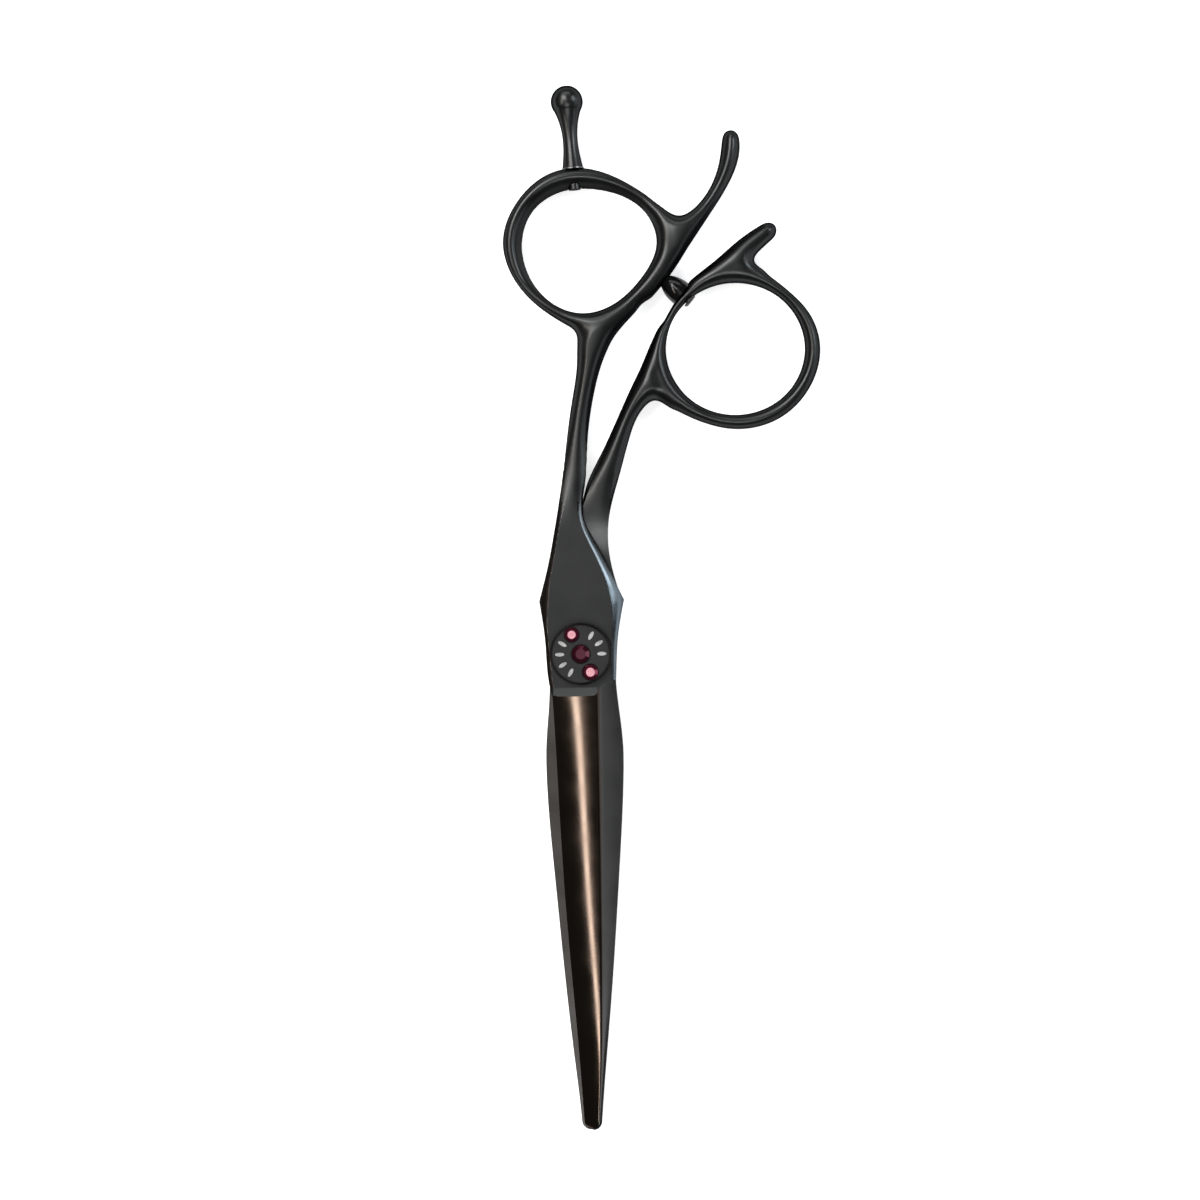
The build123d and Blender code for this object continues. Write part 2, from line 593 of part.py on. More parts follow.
# ---- tension_dial --------------------------------------------------------------------------------
gem_seats = [
    ("centre", (0.0, 0.0), CENTRE_GEM_RADIUS),
    ("upper", polar_point(UPPER_GEM_POLAR), UPPER_GEM_RADIUS),
    ("lower", polar_point(LOWER_GEM_POLAR), LOWER_GEM_RADIUS),
]

with BuildPart() as tension_dial:
    with BuildSketch(Plane.XY.offset(DIAL_FOOT_Z)):
        Circle(DIAL_RADIUS)
    extrude(amount=DIAL_TOP_Z - DIAL_FOOT_Z)
    chamfer(tension_dial.edges().sort_by(Axis.Z)[-1], DIAL_CHAMFER)
    with BuildSketch(Plane.XY.offset(DIAL_FOOT_Z)):
        with PolarLocations(DIAL_RADIUS + TOOTH_CUT / 2, DIAL_TEETH):
            Circle(TOOTH_CUT)
    extrude(amount=DIAL_TOP_Z - DIAL_FOOT_Z, mode=Mode.SUBTRACT)
    with BuildSketch(Plane.XY.offset(DIAL_FOOT_Z)):
        Circle(DIAL_CAVITY_RADIUS)
    extrude(amount=DIAL_CAVITY_Z - DIAL_FOOT_Z, mode=Mode.SUBTRACT)
    with BuildSketch(Plane.XY.offset(DIAL_CAVITY_Z)):
        Circle(NIB_CIRCLE + 2 * NIB_RADIUS)
        Circle(NIB_CIRCLE - 2 * NIB_RADIUS, mode=Mode.SUBTRACT)
    extrude(amount=NIB_TRACK_DEPTH, mode=Mode.SUBTRACT)
    with BuildSketch(Plane.XY.offset(DIAL_CAVITY_Z)):
        with PolarLocations(NIB_CIRCLE, CLICK_NOTCHES):
            Circle(NIB_RADIUS)
    extrude(amount=2 * NIB_TRACK_DEPTH, mode=Mode.SUBTRACT)
    with BuildSketch(Plane.XY.offset(DIAL_FOOT_Z)):
        Circle(BOLT_THREAD_RADIUS + RUNNING)
    extrude(amount=BOLT_TOP_Z + CLEAR - DIAL_FOOT_Z, mode=Mode.SUBTRACT)
    with BuildSketch(Plane.XY.offset(DIAL_TOP_Z - CAP_STOCK)):
        Circle(CAP_RADIUS + SEAT)
    extrude(amount=CAP_STOCK, mode=Mode.SUBTRACT)
    for name, place, radius in gem_seats:
        with BuildSketch(Plane.XY.offset(GEM_SEAT_Z)):
            with Locations(place):
                Circle(radius + BEZEL_WALL + SEAT)
        extrude(amount=DIAL_TOP_Z - GEM_SEAT_Z, mode=Mode.SUBTRACT)
write(tension_dial, "tension_dial")

# ---- dial_cap ------------------------------------------------------------------------------------
# Between the gems, leaf-shaped marks are let into the face.
with BuildPart() as dial_cap:
    with BuildSketch(Plane.XY.offset(DIAL_TOP_Z - CAP_STOCK)):
        Circle(CAP_RADIUS)
        for name, place, radius in gem_seats:
            with Locations(place):
                Circle(radius + BEZEL_WALL + SEAT, mode=Mode.SUBTRACT)
    extrude(amount=CAP_STOCK)
    with BuildSketch(Plane.XY.offset(DIAL_TOP_Z - LEAF_DEPTH)):
        for angle in LEAF_ANGLES:
            with Locations(Location((*polar_point((LEAF_CIRCLE, angle)), 0), (0, 0, angle))):
                Ellipse(*LEAF_SIZE)
    extrude(amount=LEAF_DEPTH, mode=Mode.SUBTRACT)
write(dial_cap, "dial_cap")


# ---- gems and bezels -----------------------------------------------------------------------------
def brilliant(place, radius):
    """A faceted gem: a small foot, a wide girdle and a flat table."""
    levels = [
        (GEM_SEAT_Z + SEAT, 0.4 * radius),
        (GEM_GIRDLE_Z - GIRDLE_STOCK, radius),
        (GEM_GIRDLE_Z, radius),
        (GEM_TOP_Z, 0.58 * radius),
    ]
    sections = []
    for height, reach in levels:
        with BuildSketch(Plane.XY.offset(height)) as section:
            with Locations(place):
                RegularPolygon(reach, GEM_SIDES)
        sections.append(section.sketch)
    with BuildPart() as gem:
        loft(sections=sections, ruled=True)
    return gem


def collet(place, radius):
    """The metal ring that holds a gem."""
    with BuildPart() as bezel:
        with BuildSketch(Plane.XY.offset(GEM_SEAT_Z)):
            with Locations(place):
                Circle(radius + BEZEL_WALL)
                Circle(radius + SEAT, mode=Mode.SUBTRACT)
        extrude(amount=BEZEL_TOP_Z - GEM_SEAT_Z)
        chamfer(bezel.faces().sort_by(Axis.Z)[-1].edges().sort_by(SortBy.LENGTH)[-1], BEZEL_WALL / 2)
    return bezel


for name, place, radius in gem_seats:
    write(brilliant(place, radius), f"{name}_gem")
    write(collet(place, radius), f"{name}_bezel")
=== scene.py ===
import json
import math

import bpy
import numpy as np
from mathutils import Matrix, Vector


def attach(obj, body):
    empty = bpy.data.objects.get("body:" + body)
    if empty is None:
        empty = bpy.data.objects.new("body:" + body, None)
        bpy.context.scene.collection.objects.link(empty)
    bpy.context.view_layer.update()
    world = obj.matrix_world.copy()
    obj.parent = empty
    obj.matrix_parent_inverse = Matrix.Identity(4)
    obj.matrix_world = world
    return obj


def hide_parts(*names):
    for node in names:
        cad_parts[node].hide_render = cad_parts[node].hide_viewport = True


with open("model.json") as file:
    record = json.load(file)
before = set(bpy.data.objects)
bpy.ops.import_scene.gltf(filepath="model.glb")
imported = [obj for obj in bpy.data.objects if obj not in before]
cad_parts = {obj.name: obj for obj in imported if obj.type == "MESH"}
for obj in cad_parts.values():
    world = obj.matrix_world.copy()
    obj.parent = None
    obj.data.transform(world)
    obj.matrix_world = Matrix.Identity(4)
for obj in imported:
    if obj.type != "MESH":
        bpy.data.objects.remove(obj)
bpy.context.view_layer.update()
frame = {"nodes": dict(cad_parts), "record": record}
MM = 0.001

# ---- camera --------------------------------------------------------------------------------------
# The photo looks straight down. Its view is VIEW_WIDTH metres wide, seen from VIEW_HEIGHT metres up.
VIEW_CENTRE = (0.0032, 0.0084)
VIEW_WIDTH = 0.1899
VIEW_HEIGHT = 0.40
VIEW_LEVEL = 0.003  # the height above the floor that VIEW_HEIGHT is measured from
VIEW_TURN = math.radians(-1.27)
SENSOR = 36.0

camera_data = bpy.data.cameras.new("camera")
camera_data.sensor_width = SENSOR
camera_data.lens = SENSOR * VIEW_HEIGHT / VIEW_WIDTH
camera_data.clip_start = 0.01
camera_data.clip_end = 20.0
camera = bpy.data.objects.new("camera", camera_data)
bpy.context.scene.collection.objects.link(camera)
camera.location = (*VIEW_CENTRE, VIEW_LEVEL + VIEW_HEIGHT)
camera.rotation_euler = (0.0, 0.0, VIEW_TURN)
bpy.context.scene.camera = camera


# ---- curves --------------------------------------------------------------------------------------
def spline(points, closed=False, spacing=0.3):
    """Points every spacing mm or so along a smooth curve through points."""
    points = np.array(points, float)
    if closed:
        points = np.vstack([points, points[:1]])
    count = len(points)
    gaps = np.linalg.norm(np.diff(points, axis=0), axis=1)
    knots = np.concatenate([[0.0], np.cumsum(gaps)])
    system = np.zeros((count, count))
    right = np.zeros((count, points.shape[1]))
    slopes = np.diff(points, axis=0) / gaps[:, None]
    for row in range(1, count - 1):
        system[row, row - 1 : row + 2] = gaps[row - 1], 2 * (gaps[row - 1] + gaps[row]), gaps[row]
        right[row] = 6 * (slopes[row] - slopes[row - 1])
    if closed:
        system[0, 0], system[0, 1], system[0, -2] = 2 * (gaps[-1] + gaps[0]), gaps[0], gaps[-1]
        right[0] = 6 * (slopes[0] - slopes[-1])
        system[-1, -1], system[-1, 0] = 1.0, -1.0
    else:
        system[0, 0] = system[-1, -1] = 1.0
    bend = np.linalg.solve(system, right)
    steps = np.linspace(0, knots[-1], max(2, int(knots[-1] / spacing)) + 1)
    cell = np.clip(np.searchsorted(knots, steps, side="right") - 1, 0, count - 2)
    span = gaps[cell][:, None]
    after = (steps - knots[cell])[:, None] / span
    before = 1 - after
    curve = before * points[cell] + after * points[cell + 1]
    curve += ((before**3 - before) * bend[cell] + (after**3 - after) * bend[cell + 1]) * span**2 / 6
    return curve[:-1] if closed else curve


def outline(*runs):
    """One closed outline from runs of points; a run of two points is a straight line."""
    return np.vstack([spline(run)[:-1] if len(run) > 2 else np.array(run[:1], float) for run in runs])


def course(points):
    """A smooth function through (position, value) points, level beyond its ends."""
    curve = spline(points, spacing=0.5)
    return lambda at: np.interp(at, curve[:, 0], curve[:, 1])


# ---- fields --------------------------------------------------------------------------------------
# A field is negative inside a shape and positive outside, in millimetres from its surface.
FAR = 9.0  # the value given to points that are a long way from an outline


class Grid:
    """A plan grid on which distances to outlines are worked out once and then looked up smoothly."""

    def __init__(self, low, high, step):
        self.low = np.array(low, float)
        self.step = step
        self.shape = tuple(int(n) for n in np.ceil((np.array(high) - self.low) / step) + 1)
        self.xs = self.low[0] + step * np.arange(self.shape[0])
        self.ys = self.low[1] + step * np.arange(self.shape[1])

    def distance(self, shape):
        """Signed distance to a closed outline at every grid point."""
        field = np.full(self.shape, FAR)
        first, second = shape, np.roll(shape, -1, axis=0)
        run = second - first
        length = (run**2).sum(1)
        low, high = shape.min(0) - FAR / 2, shape.max(0) + FAR / 2
        columns = np.nonzero((self.xs > low[0]) & (self.xs < high[0]))[0]
        rows = np.nonzero((self.ys > low[1]) & (self.ys < high[1]))[0]
        y = self.ys[rows][:, None]
        for column in columns:
            x = self.xs[column]
            share = ((x - first[:, 0]) * run[:, 0] + (y - first[:, 1]) * run[:, 1]) / length
            share = np.clip(share, 0, 1)
            gap_x = x - first[:, 0] - share * run[:, 0]
            gap_y = y - first[:, 1] - share * run[:, 1]
            gap = np.sqrt((gap_x**2 + gap_y**2).min(1))
            spans = (first[:, 1] > y) != (second[:, 1] > y)
            rise = np.where(run[:, 1] == 0, 1.0, run[:, 1])
            crossings = spans & (x < first[:, 0] + (y - first[:, 1]) / rise * run[:, 0])
            field[column, rows] = np.where(crossings.sum(1) % 2 == 1, -gap, gap)
        return field

    def blur(self, field, width):
        """field smoothed over width mm, which rounds its creases."""
        reach = int(3 * width / self.step)
        weights = np.exp(-0.5 * (np.arange(-reach, reach + 1) * self.step / width) ** 2)
        weights /= weights.sum()
        for axis in (0, 1):
            padded = np.pad(field, [(reach, reach) if a == axis else (0, 0) for a in (0, 1)], mode="edge")
            size = field.shape[axis]
            field = sum(
                weight * np.take(padded, range(shift, shift + size), axis=axis)
                for shift, weight in enumerate(weights)
            )
        return field

    def at(self, field, points):
        """field at any points, by a smooth cubic through the grid."""
        place = np.clip((points[:, :2] - self.low) / self.step, 1, np.array(self.shape) - 2.001)
        base = np.floor(place).astype(int)
        share = place - base

        def weights(t):
            return (
                0.5 * (-t + 2 * t**2 - t**3),
                0.5 * (2 - 5 * t**2 + 3 * t**3),
                0.5 * (t + 4 * t**2 - 3 * t**3),
                0.5 * (-(t**2) + t**3),
            )

        across = weights(share[:, 0])
        along = weights(share[:, 1])
        total = 0.0
        for i in range(4):
            for j in range(4):
                total = total + across[i] * along[j] * field[base[:, 0] + i - 1, base[:, 1] + j - 1]
        return total


def soft_union(first, second, width):
    """The union of two fields, with a fillet of about width mm where they meet."""
    share = np.clip(0.5 + 0.5 * (second - first) / width, 0, 1)
    return second + (first - second) * share - width * share * (1 - share)


def ease(value, start, stop):
    """0 before start and 1 after stop, with a smooth step between them."""
    share = np.clip((value - start) / (stop - start), 0, 1)
    return share * share * (3 - 2 * share)


def cylinder(points, origin, axis, radius, low, high):
    """Field of a cylinder from low to high mm along axis."""
    away = points - np.array(origin)
    along = away @ np.array(axis)
    across = np.sqrt(np.maximum((away**2).sum(1) - along**2, 0.0))
    return np.maximum(across - radius, np.maximum(low - along, along - high))


# ---- contouring ----------------------------------------------------------------------------------
PROBE = 0.03  # how far either side of a point its slope is measured
PULL = 0.05  # how strongly a vertex is held to the middle of its cell's crossings
SMOOTH_SPREAD = 0.02  # a cell's surface is smooth if its normals spread less than this
CREASE = math.radians(28.0)  # a blade's edges sharper than this stay sharp


def slope(solid, points):
    """How fast a field changes along x, y and z at points."""
    parts = []
    for axis in range(3):
        shift = np.zeros(3)
        shift[axis] = PROBE
        parts.append((solid(points + shift) - solid(points - shift)) / (2 * PROBE))
    return np.stack(parts, -1)


def normals_at(solid, points):
    normal = slope(solid, points)
    return normal / np.maximum(np.linalg.norm(normal, axis=1), 1e-9)[:, None]


def crossings(values, low, step, axis):
    """Where the surface crosses the lattice's edges along axis.

    Returns the crossing points, whether each edge starts inside, and the four cells around it.
    """
    cells = np.array(values.shape) - 1
    first = [slice(None)] * 3
    second = [slice(None)] * 3
    first[axis], second[axis] = slice(None, -1), slice(1, None)
    start, stop = values[tuple(first)], values[tuple(second)]
    corner = np.stack(np.nonzero((start < 0) != (stop < 0)), -1)
    near = start[tuple(corner.T)]
    points = low + step * corner
    points[:, axis] += step * (near / (near - stop[tuple(corner.T)]))
    sides = [other for other in range(3) if other != axis]
    around = []
    for back_one, back_two in ((0, 0), (1, 0), (1, 1), (0, 1)):
        cell = corner.copy()
        cell[:, sides[0]] -= back_one
        cell[:, sides[1]] -= back_two
        around.append(cell)
    kept = np.all([(cell >= 0).all(1) & (cell < cells).all(1) for cell in around], axis=0)
    return points[kept], near[kept] < 0, [np.ravel_multi_index(cell[kept].T, cells) for cell in around]


def plane_sums(points, normals):
    """What each crossing's tangent plane adds to its cells' sums, for placing their vertices."""
    nx, ny, nz = normals.T
    offset = (normals * points).sum(1)
    squares = [nx**2, ny**2, nz**2]
    products = [nx * ny, nx * nz, ny * nz]
    return np.column_stack([np.ones(len(points)), points, *squares, *products, normals * offset[:, None]])


def place_vertices(totals):
    """Each cell's vertex, where its tangent planes meet, and whether its surface is smooth."""
    mean = totals[:, 1:4] / totals[:, :1]
    matrix = np.empty((len(totals), 3, 3))
    for a, b, part in ((0, 0, 4), (1, 1, 5), (2, 2, 6), (0, 1, 7), (0, 2, 8), (1, 2, 9)):
        matrix[:, a, b] = matrix[:, b, a] = totals[:, part]
    right = totals[:, 10:13] - np.einsum("nab,nb->na", matrix, mean)
    spread = np.linalg.eigvalsh(matrix)
    smooth = spread[:, 1] < SMOOTH_SPREAD * spread[:, 2]
    matrix += PULL * np.eye(3)
    return mean + np.linalg.solve(matrix, right[:, :, None])[:, :, 0], smooth


def contour(solid, low, high, step):
    """Vertices, faces and corner normals of the surface where solid(points) is 0, sharp edges kept."""
    low = np.array(low, float)
    counts = np.ceil((np.array(high) - low) / step).astype(int) + 1
    xs, ys, zs = (low[axis] + step * np.arange(counts[axis]) for axis in range(3))
    plan = np.stack(np.meshgrid(xs, ys, indexing="ij"), -1).reshape(-1, 2)
    levels = [solid(np.column_stack([plan, np.full(len(plan), z)])).reshape(len(xs), len(ys)) for z in zs]
    values = np.stack(levels, -1)

    cells = counts - 1
    totals = np.zeros((cells.prod(), 13))
    quads = []
    for axis in range(3):
        points, starts_inside, around = crossings(values, low, step, axis)
        flip = starts_inside == (axis != 1)
        quads.append(np.where(flip[:, None], np.stack(around, -1), np.stack(around[::-1], -1)))
        sums = plane_sums(points, normals_at(solid, points))
        for cell in around:
            for part in range(sums.shape[1]):
                totals[:, part] += np.bincount(cell, sums[:, part], len(totals))

    used = np.nonzero(totals[:, 0])[0]
    vertices, smooth = place_vertices(totals[used])
    corner = low + step * np.stack(np.unravel_index(used, cells), -1)
    vertices = np.clip(vertices, corner, corner + step)
    # Smooth vertices are moved onto the surface itself.
    for _ in range(2):
        normal = slope(solid, vertices[smooth])
        steep = np.maximum((normal**2).sum(1), 0.1)
        move = -(solid(vertices[smooth]) / steep)[:, None] * normal
        vertices[smooth] += np.clip(move, -step / 2, step / 2)
    order = np.full(cells.prod(), -1)
    order[used] = np.arange(len(used))
    return (vertices, *shaded_faces(solid, vertices, smooth, order[np.vstack(quads)]))


def shaded_faces(solid, vertices, smooth, quads):
    """Faces and their corner normals: quads where smooth, and triangles that follow the creases."""
    creased = ~smooth[quads].all(1)
    plain, bent = quads[~creased], quads[creased]
    # A bent quad is split along the diagonal that lies closer to the surface.
    first = np.abs(solid((vertices[bent[:, 0]] + vertices[bent[:, 2]]) / 2))
    second = np.abs(solid((vertices[bent[:, 1]] + vertices[bent[:, 3]]) / 2))
    bent = np.where((first <= second)[:, None], bent, np.roll(bent, -1, axis=1))
    triangles = np.vstack([bent[:, [0, 1, 2]], bent[:, [0, 2, 3]]])
    # A corner on a crease takes its normal from halfway to the middle of its triangle.
    normals = normals_at(solid, vertices)
    corners = (vertices[triangles] + vertices[triangles].mean(1)[:, None, :]) / 2
    split = normals_at(solid, corners.reshape(-1, 3)).reshape(-1, 3, 3)
    split = np.where(smooth[triangles][:, :, None], normals[triangles], split)
    corner_normals = np.vstack([normals[plain].reshape(-1, 3), split.reshape(-1, 3)])
    return plain.tolist() + triangles.tolist(), corner_normals


def mesh_object(name, vertices, faces):
    """A smooth-shaded mesh from millimetre vertices, with its sharp edges kept."""
    mesh = bpy.data.meshes.new(name)
    mesh.from_pydata((np.asarray(vertices) * MM).tolist(), [], faces)
    mesh.validate()
    mesh.polygons.foreach_set("use_smooth", np.ones(len(mesh.polygons), bool))
    mesh.set_sharp_from_angle(angle=CREASE)
    mesh.update()
    thing = bpy.data.objects.new(name, mesh)
    bpy.context.scene.collection.objects.link(thing)
    return thing


# ---- shader helpers ------------------------------------------------------------------------------
class Shader:
    """A material's node tree, with short ways to add nodes and wire them."""

    def __init__(self, name):
        self.material = bpy.data.materials.new(name)
        self.material.use_nodes = True
        self.tree = self.material.node_tree
        self.tree.nodes.clear()
        self.output = self.tree.nodes.new("ShaderNodeOutputMaterial")
        self.body = self.tree.nodes.new("ShaderNodeBsdfPrincipled")
        self.wire(self.body.outputs[0], self.output.inputs["Surface"])
        self.coords = self.tree.nodes.new("ShaderNodeTexCoord").outputs["Object"]

    def wire(self, source, socket):
        self.tree.links.new(source, socket)

    def put(self, socket, value):
        """Wire value to socket if it is another socket, or else set it as a constant."""
        if isinstance(value, bpy.types.NodeSocket):
            self.wire(value, socket)
        elif isinstance(value, (tuple, list)) and len(value) == 3 and socket.type == "RGBA":
            socket.default_value = (*value, 1.0)
        else:
            socket.default_value = value

    def set(self, **values):
        """Set the surface shader's inputs by name, with _ for each space."""
        for name, value in values.items():
            self.put(self.body.inputs[name.replace("_", " ")], value)

    def noise(self, scale, detail=3.0, seed=0.0):
        """Grey noise over the object's own coordinates. scale is in cycles per metre."""
        mapping = self.tree.nodes.new("ShaderNodeMapping")
        mapping.inputs["Location"].default_value = (seed, seed * 0.7, seed * 1.3)
        self.wire(self.coords, mapping.inputs["Vector"])
        node = self.tree.nodes.new("ShaderNodeTexNoise")
        node.inputs["Scale"].default_value = scale
        node.inputs["Detail"].default_value = detail
        self.wire(mapping.outputs[0], node.inputs["Vector"])
        return node.outputs[0]

    def span(self, value, low, high, start=0.3, stop=0.7):
        """value from start..stop mapped to low..high, clamped."""
        node = self.tree.nodes.new("ShaderNodeMapRange")
        self.put(node.inputs["Value"], value)
        node.inputs["From Min"].default_value = start
        node.inputs["From Max"].default_value = stop
        node.inputs["To Min"].default_value = low
        node.inputs["To Max"].default_value = high
        return node.outputs[0]

    def math(self, operation, first, second=0.0):
        node = self.tree.nodes.new("ShaderNodeMath")
        node.operation = operation
        self.put(node.inputs[0], first)
        self.put(node.inputs[1], second)
        return node.outputs[0]

    def mix(self, share, first, second):
        node = self.tree.nodes.new("ShaderNodeMix")
        node.data_type = "RGBA"
        self.put(node.inputs[0], share)
        self.put(node.inputs[6], first)
        self.put(node.inputs[7], second)
        return node.outputs[2]

    def parts(self, vector):
        """The x, y and z of a vector."""
        node = self.tree.nodes.new("ShaderNodeSeparateXYZ")
        self.wire(vector, node.inputs[0])
        return node.outputs

    def bump(self, height, distance):
        """Roughen the surface by height, over distance in metres."""
        node = self.tree.nodes.new("ShaderNodeBump")
        node.inputs["Strength"].default_value = 1.0
        node.inputs["Distance"].default_value = distance
        self.wire(height, node.inputs["Height"])
        self.wire(node.outputs[0], self.body.inputs["Normal"])


# ---- materials -----------------------------------------------------------------------------------
# Noise scales are in cycles per metre, and bump heights in metres.
PATCH_SCALE = 60.0
GLOSS_SCALE = 220.0
GRAIN_SCALE = 1500.0
GRAIN_HEIGHT = 2.5e-7
ENAMEL_SCALE = 900.0
ENAMEL_HEIGHT = 4e-7
STONE_SCALE = 1400.0
STONE_HEIGHT = 3e-7
COAT = (0.034, 0.035, 0.035)
FADE_START, FADE_STOP = 9.0, 25.0  # the rims' painted reflection colour fades into plain coated steel between these, in mm along Y
EDGE_TINT = (0.2, 0.2, 0.22)  # coated and polished metal stays dark where it is seen edge on
ENAMEL_Z = (7.30, 7.37)  # the floors of the dial face's marks lie between these heights, in mm
TABLE_FACING = 0.97  # a gem's table, which gets a painted highlight, is where its normal's z is more than this


def surface(name, dark, light, rough_low, rough_high, fade=False, metal=1.0, tint=EDGE_TINT):
    """A worn surface: metal unless told otherwise, with patches, fine grain and changes of gloss."""
    shader = Shader(name)
    patches = shader.noise(PATCH_SCALE, 4.0)
    gloss = shader.noise(GLOSS_SCALE, 2.0, seed=5.0)
    grain = shader.noise(GRAIN_SCALE, 3.0, seed=3.0)
    tone = shader.mix(shader.span(patches, 0.0, 1.0), dark, light)
    # A rim's painted reflection colour gives way to the plain coat along Y.
    if fade:
        along = shader.parts(shader.coords)[1]
        tone = shader.mix(shader.span(along, 0.0, 1.0, FADE_START * MM, FADE_STOP * MM), tone, COAT)
    shader.set(
        Base_Color=tone,
        Metallic=metal,
        Specular_Tint=tint,
        Roughness=shader.span(gloss, rough_low, rough_high),
    )
    shader.bump(grain, GRAIN_HEIGHT)
    return shader.material


def enamelled(name, ground, enamel):
    """Coated metal with pale enamel in the recesses whose floors lie at ENAMEL_Z."""
    shader = Shader(name)
    wear = shader.noise(ENAMEL_SCALE, 4.0)
    height = shader.parts(shader.coords)[2]
    above = shader.math("GREATER_THAN", height, ENAMEL_Z[0] * MM)
    below = shader.math("LESS_THAN", height, ENAMEL_Z[1] * MM)
    filled = shader.math("MULTIPLY", shader.math("MULTIPLY", above, below), shader.span(wear, 0.55, 1.0))
    shader.set(
        Base_Color=shader.mix(filled, ground, enamel),
        Metallic=shader.math("SUBTRACT", 1.0, filled),
        Roughness=shader.span(wear, 0.34, 0.48),
    )
    shader.bump(wear, ENAMEL_HEIGHT)
    return shader.material


def cut_stone(name, crown, table):
    """Foil-backed cut glass: a dark crown, and a lighter table that looks straight up, its lightness a
    painted highlight.
    """
    shader = Shader(name)
    clouds = shader.noise(STONE_SCALE, 3.0)
    geometry = shader.tree.nodes.new("ShaderNodeNewGeometry")
    painted_table_mask = shader.math("GREATER_THAN", shader.parts(geometry.outputs["True Normal"])[2], TABLE_FACING)
    clouded_table_light = shader.mix(clouds, table, [0.8 * part for part in table])
    shader.set(
        Base_Color=shader.mix(painted_table_mask, crown, clouded_table_light),
        Metallic=0.8,
        Roughness=shader.span(clouds, 0.05, 0.14),
        Coat_Weight=0.3,
        Coat_Roughness=0.04,
    )
    shader.bump(clouds, STONE_HEIGHT)
    return shader.material


# Each metal's darkest and lightest colour, and its lowest and highest roughness.
METALS = {
    "coated_steel": ((0.031, 0.032, 0.032), (0.039, 0.040, 0.040), 0.29, 0.36),
    "bevel_steel": ((0.043, 0.0335, 0.0275), (0.049, 0.039, 0.032), 0.09, 0.13),
    "blade_steel": ((0.042, 0.0425, 0.043), (0.048, 0.0485, 0.049), 0.28, 0.34),
    "inner_steel": ((0.060, 0.056, 0.052), (0.072, 0.068, 0.064), 0.25, 0.35),
    "worn_steel": ((0.08, 0.08, 0.08), (0.14, 0.14, 0.14), 0.26, 0.36),
    "bare_steel": ((0.36, 0.36, 0.37), (0.48, 0.48, 0.49), 0.25, 0.40),
    "bearing_steel": ((0.62, 0.62, 0.64), (0.70, 0.70, 0.72), 0.06, 0.12),
    "bronze": ((0.50, 0.33, 0.16), (0.60, 0.42, 0.24), 0.22, 0.35),
    "dial_black": ((0.016, 0.015, 0.015), (0.023, 0.021, 0.021), 0.28, 0.40),
}
# The crossing's polished bevels carry a painted reflection in their colour: cool and bright on the right,
# warm on the left, fading into the coated handles.
PAINTED_RIM_REFLECTIONS = {
    "rim_blue": ((0.085, 0.099, 0.111), (0.098, 0.114, 0.127), 0.20, 0.27),
    "rim_brown": ((0.044, 0.038, 0.034), (0.053, 0.046, 0.042), 0.20, 0.27),
}
# The last colour is the tint of the reflection.
PLASTICS = {
    "black_rubber": ((0.0015, 0.0015, 0.0015), (0.003, 0.003, 0.003), 0.1, 0.16, (0.4, 0.4, 0.4)),
    "grey_plastic": ((0.012, 0.012, 0.012), (0.02, 0.02, 0.02), 0.3, 0.4, (1.0, 1.0, 1.0)),
}

MATERIALS = {name: surface(name, *look) for name, look in METALS.items()}
for name, look in PAINTED_RIM_REFLECTIONS.items():
    MATERIALS[name] = surface(name, *look, fade=True)
for name, (*look, tint) in PLASTICS.items():
    MATERIALS[name] = surface(name, *look, metal=0.0, tint=tint)
MATERIALS["dial_face"] = enamelled("dial_face", (0.031, 0.031, 0.032), (0.42, 0.43, 0.42))
# The second colour of each stone is painted on its table as a highlight.
MATERIALS["garnet_glass"] = cut_stone("garnet_glass", (0.07, 0.005, 0.018), (0.064, 0.005, 0.019))
MATERIALS["rose_glass"] = cut_stone("rose_glass", (0.13, 0.008, 0.03), (0.72, 0.34, 0.39))

# Pieces that look different from others in their material slot.
NODE_MATERIALS = {"upper_gem": "rose_glass", "lower_gem": "rose_glass", "finger_rest_washer": "worn_steel"}

slots = {part["node"]: part["material_slot"] for part in frame["record"]["subparts"]}
for name, piece in frame["nodes"].items():
    piece.data.materials.clear()
    piece.data.materials.append(MATERIALS[NODE_MATERIALS.get(name, slots[name])])


# ---- the halves' shape ---------------------------------------------------------------------------
# Millimetres, in the CAD model's frame.
MATING = 3.0  # height of the plane on which the halves slide
GAP = 0.02  # from that plane to each half's flat face
FRONT = 5.4  # heights of the crossing's upper and lower faces
BACK = 0.6
MIDDLE = 3.0  # height of the rings' middle
STEP = 0.2  # spacing of the lattice that the surface is found on

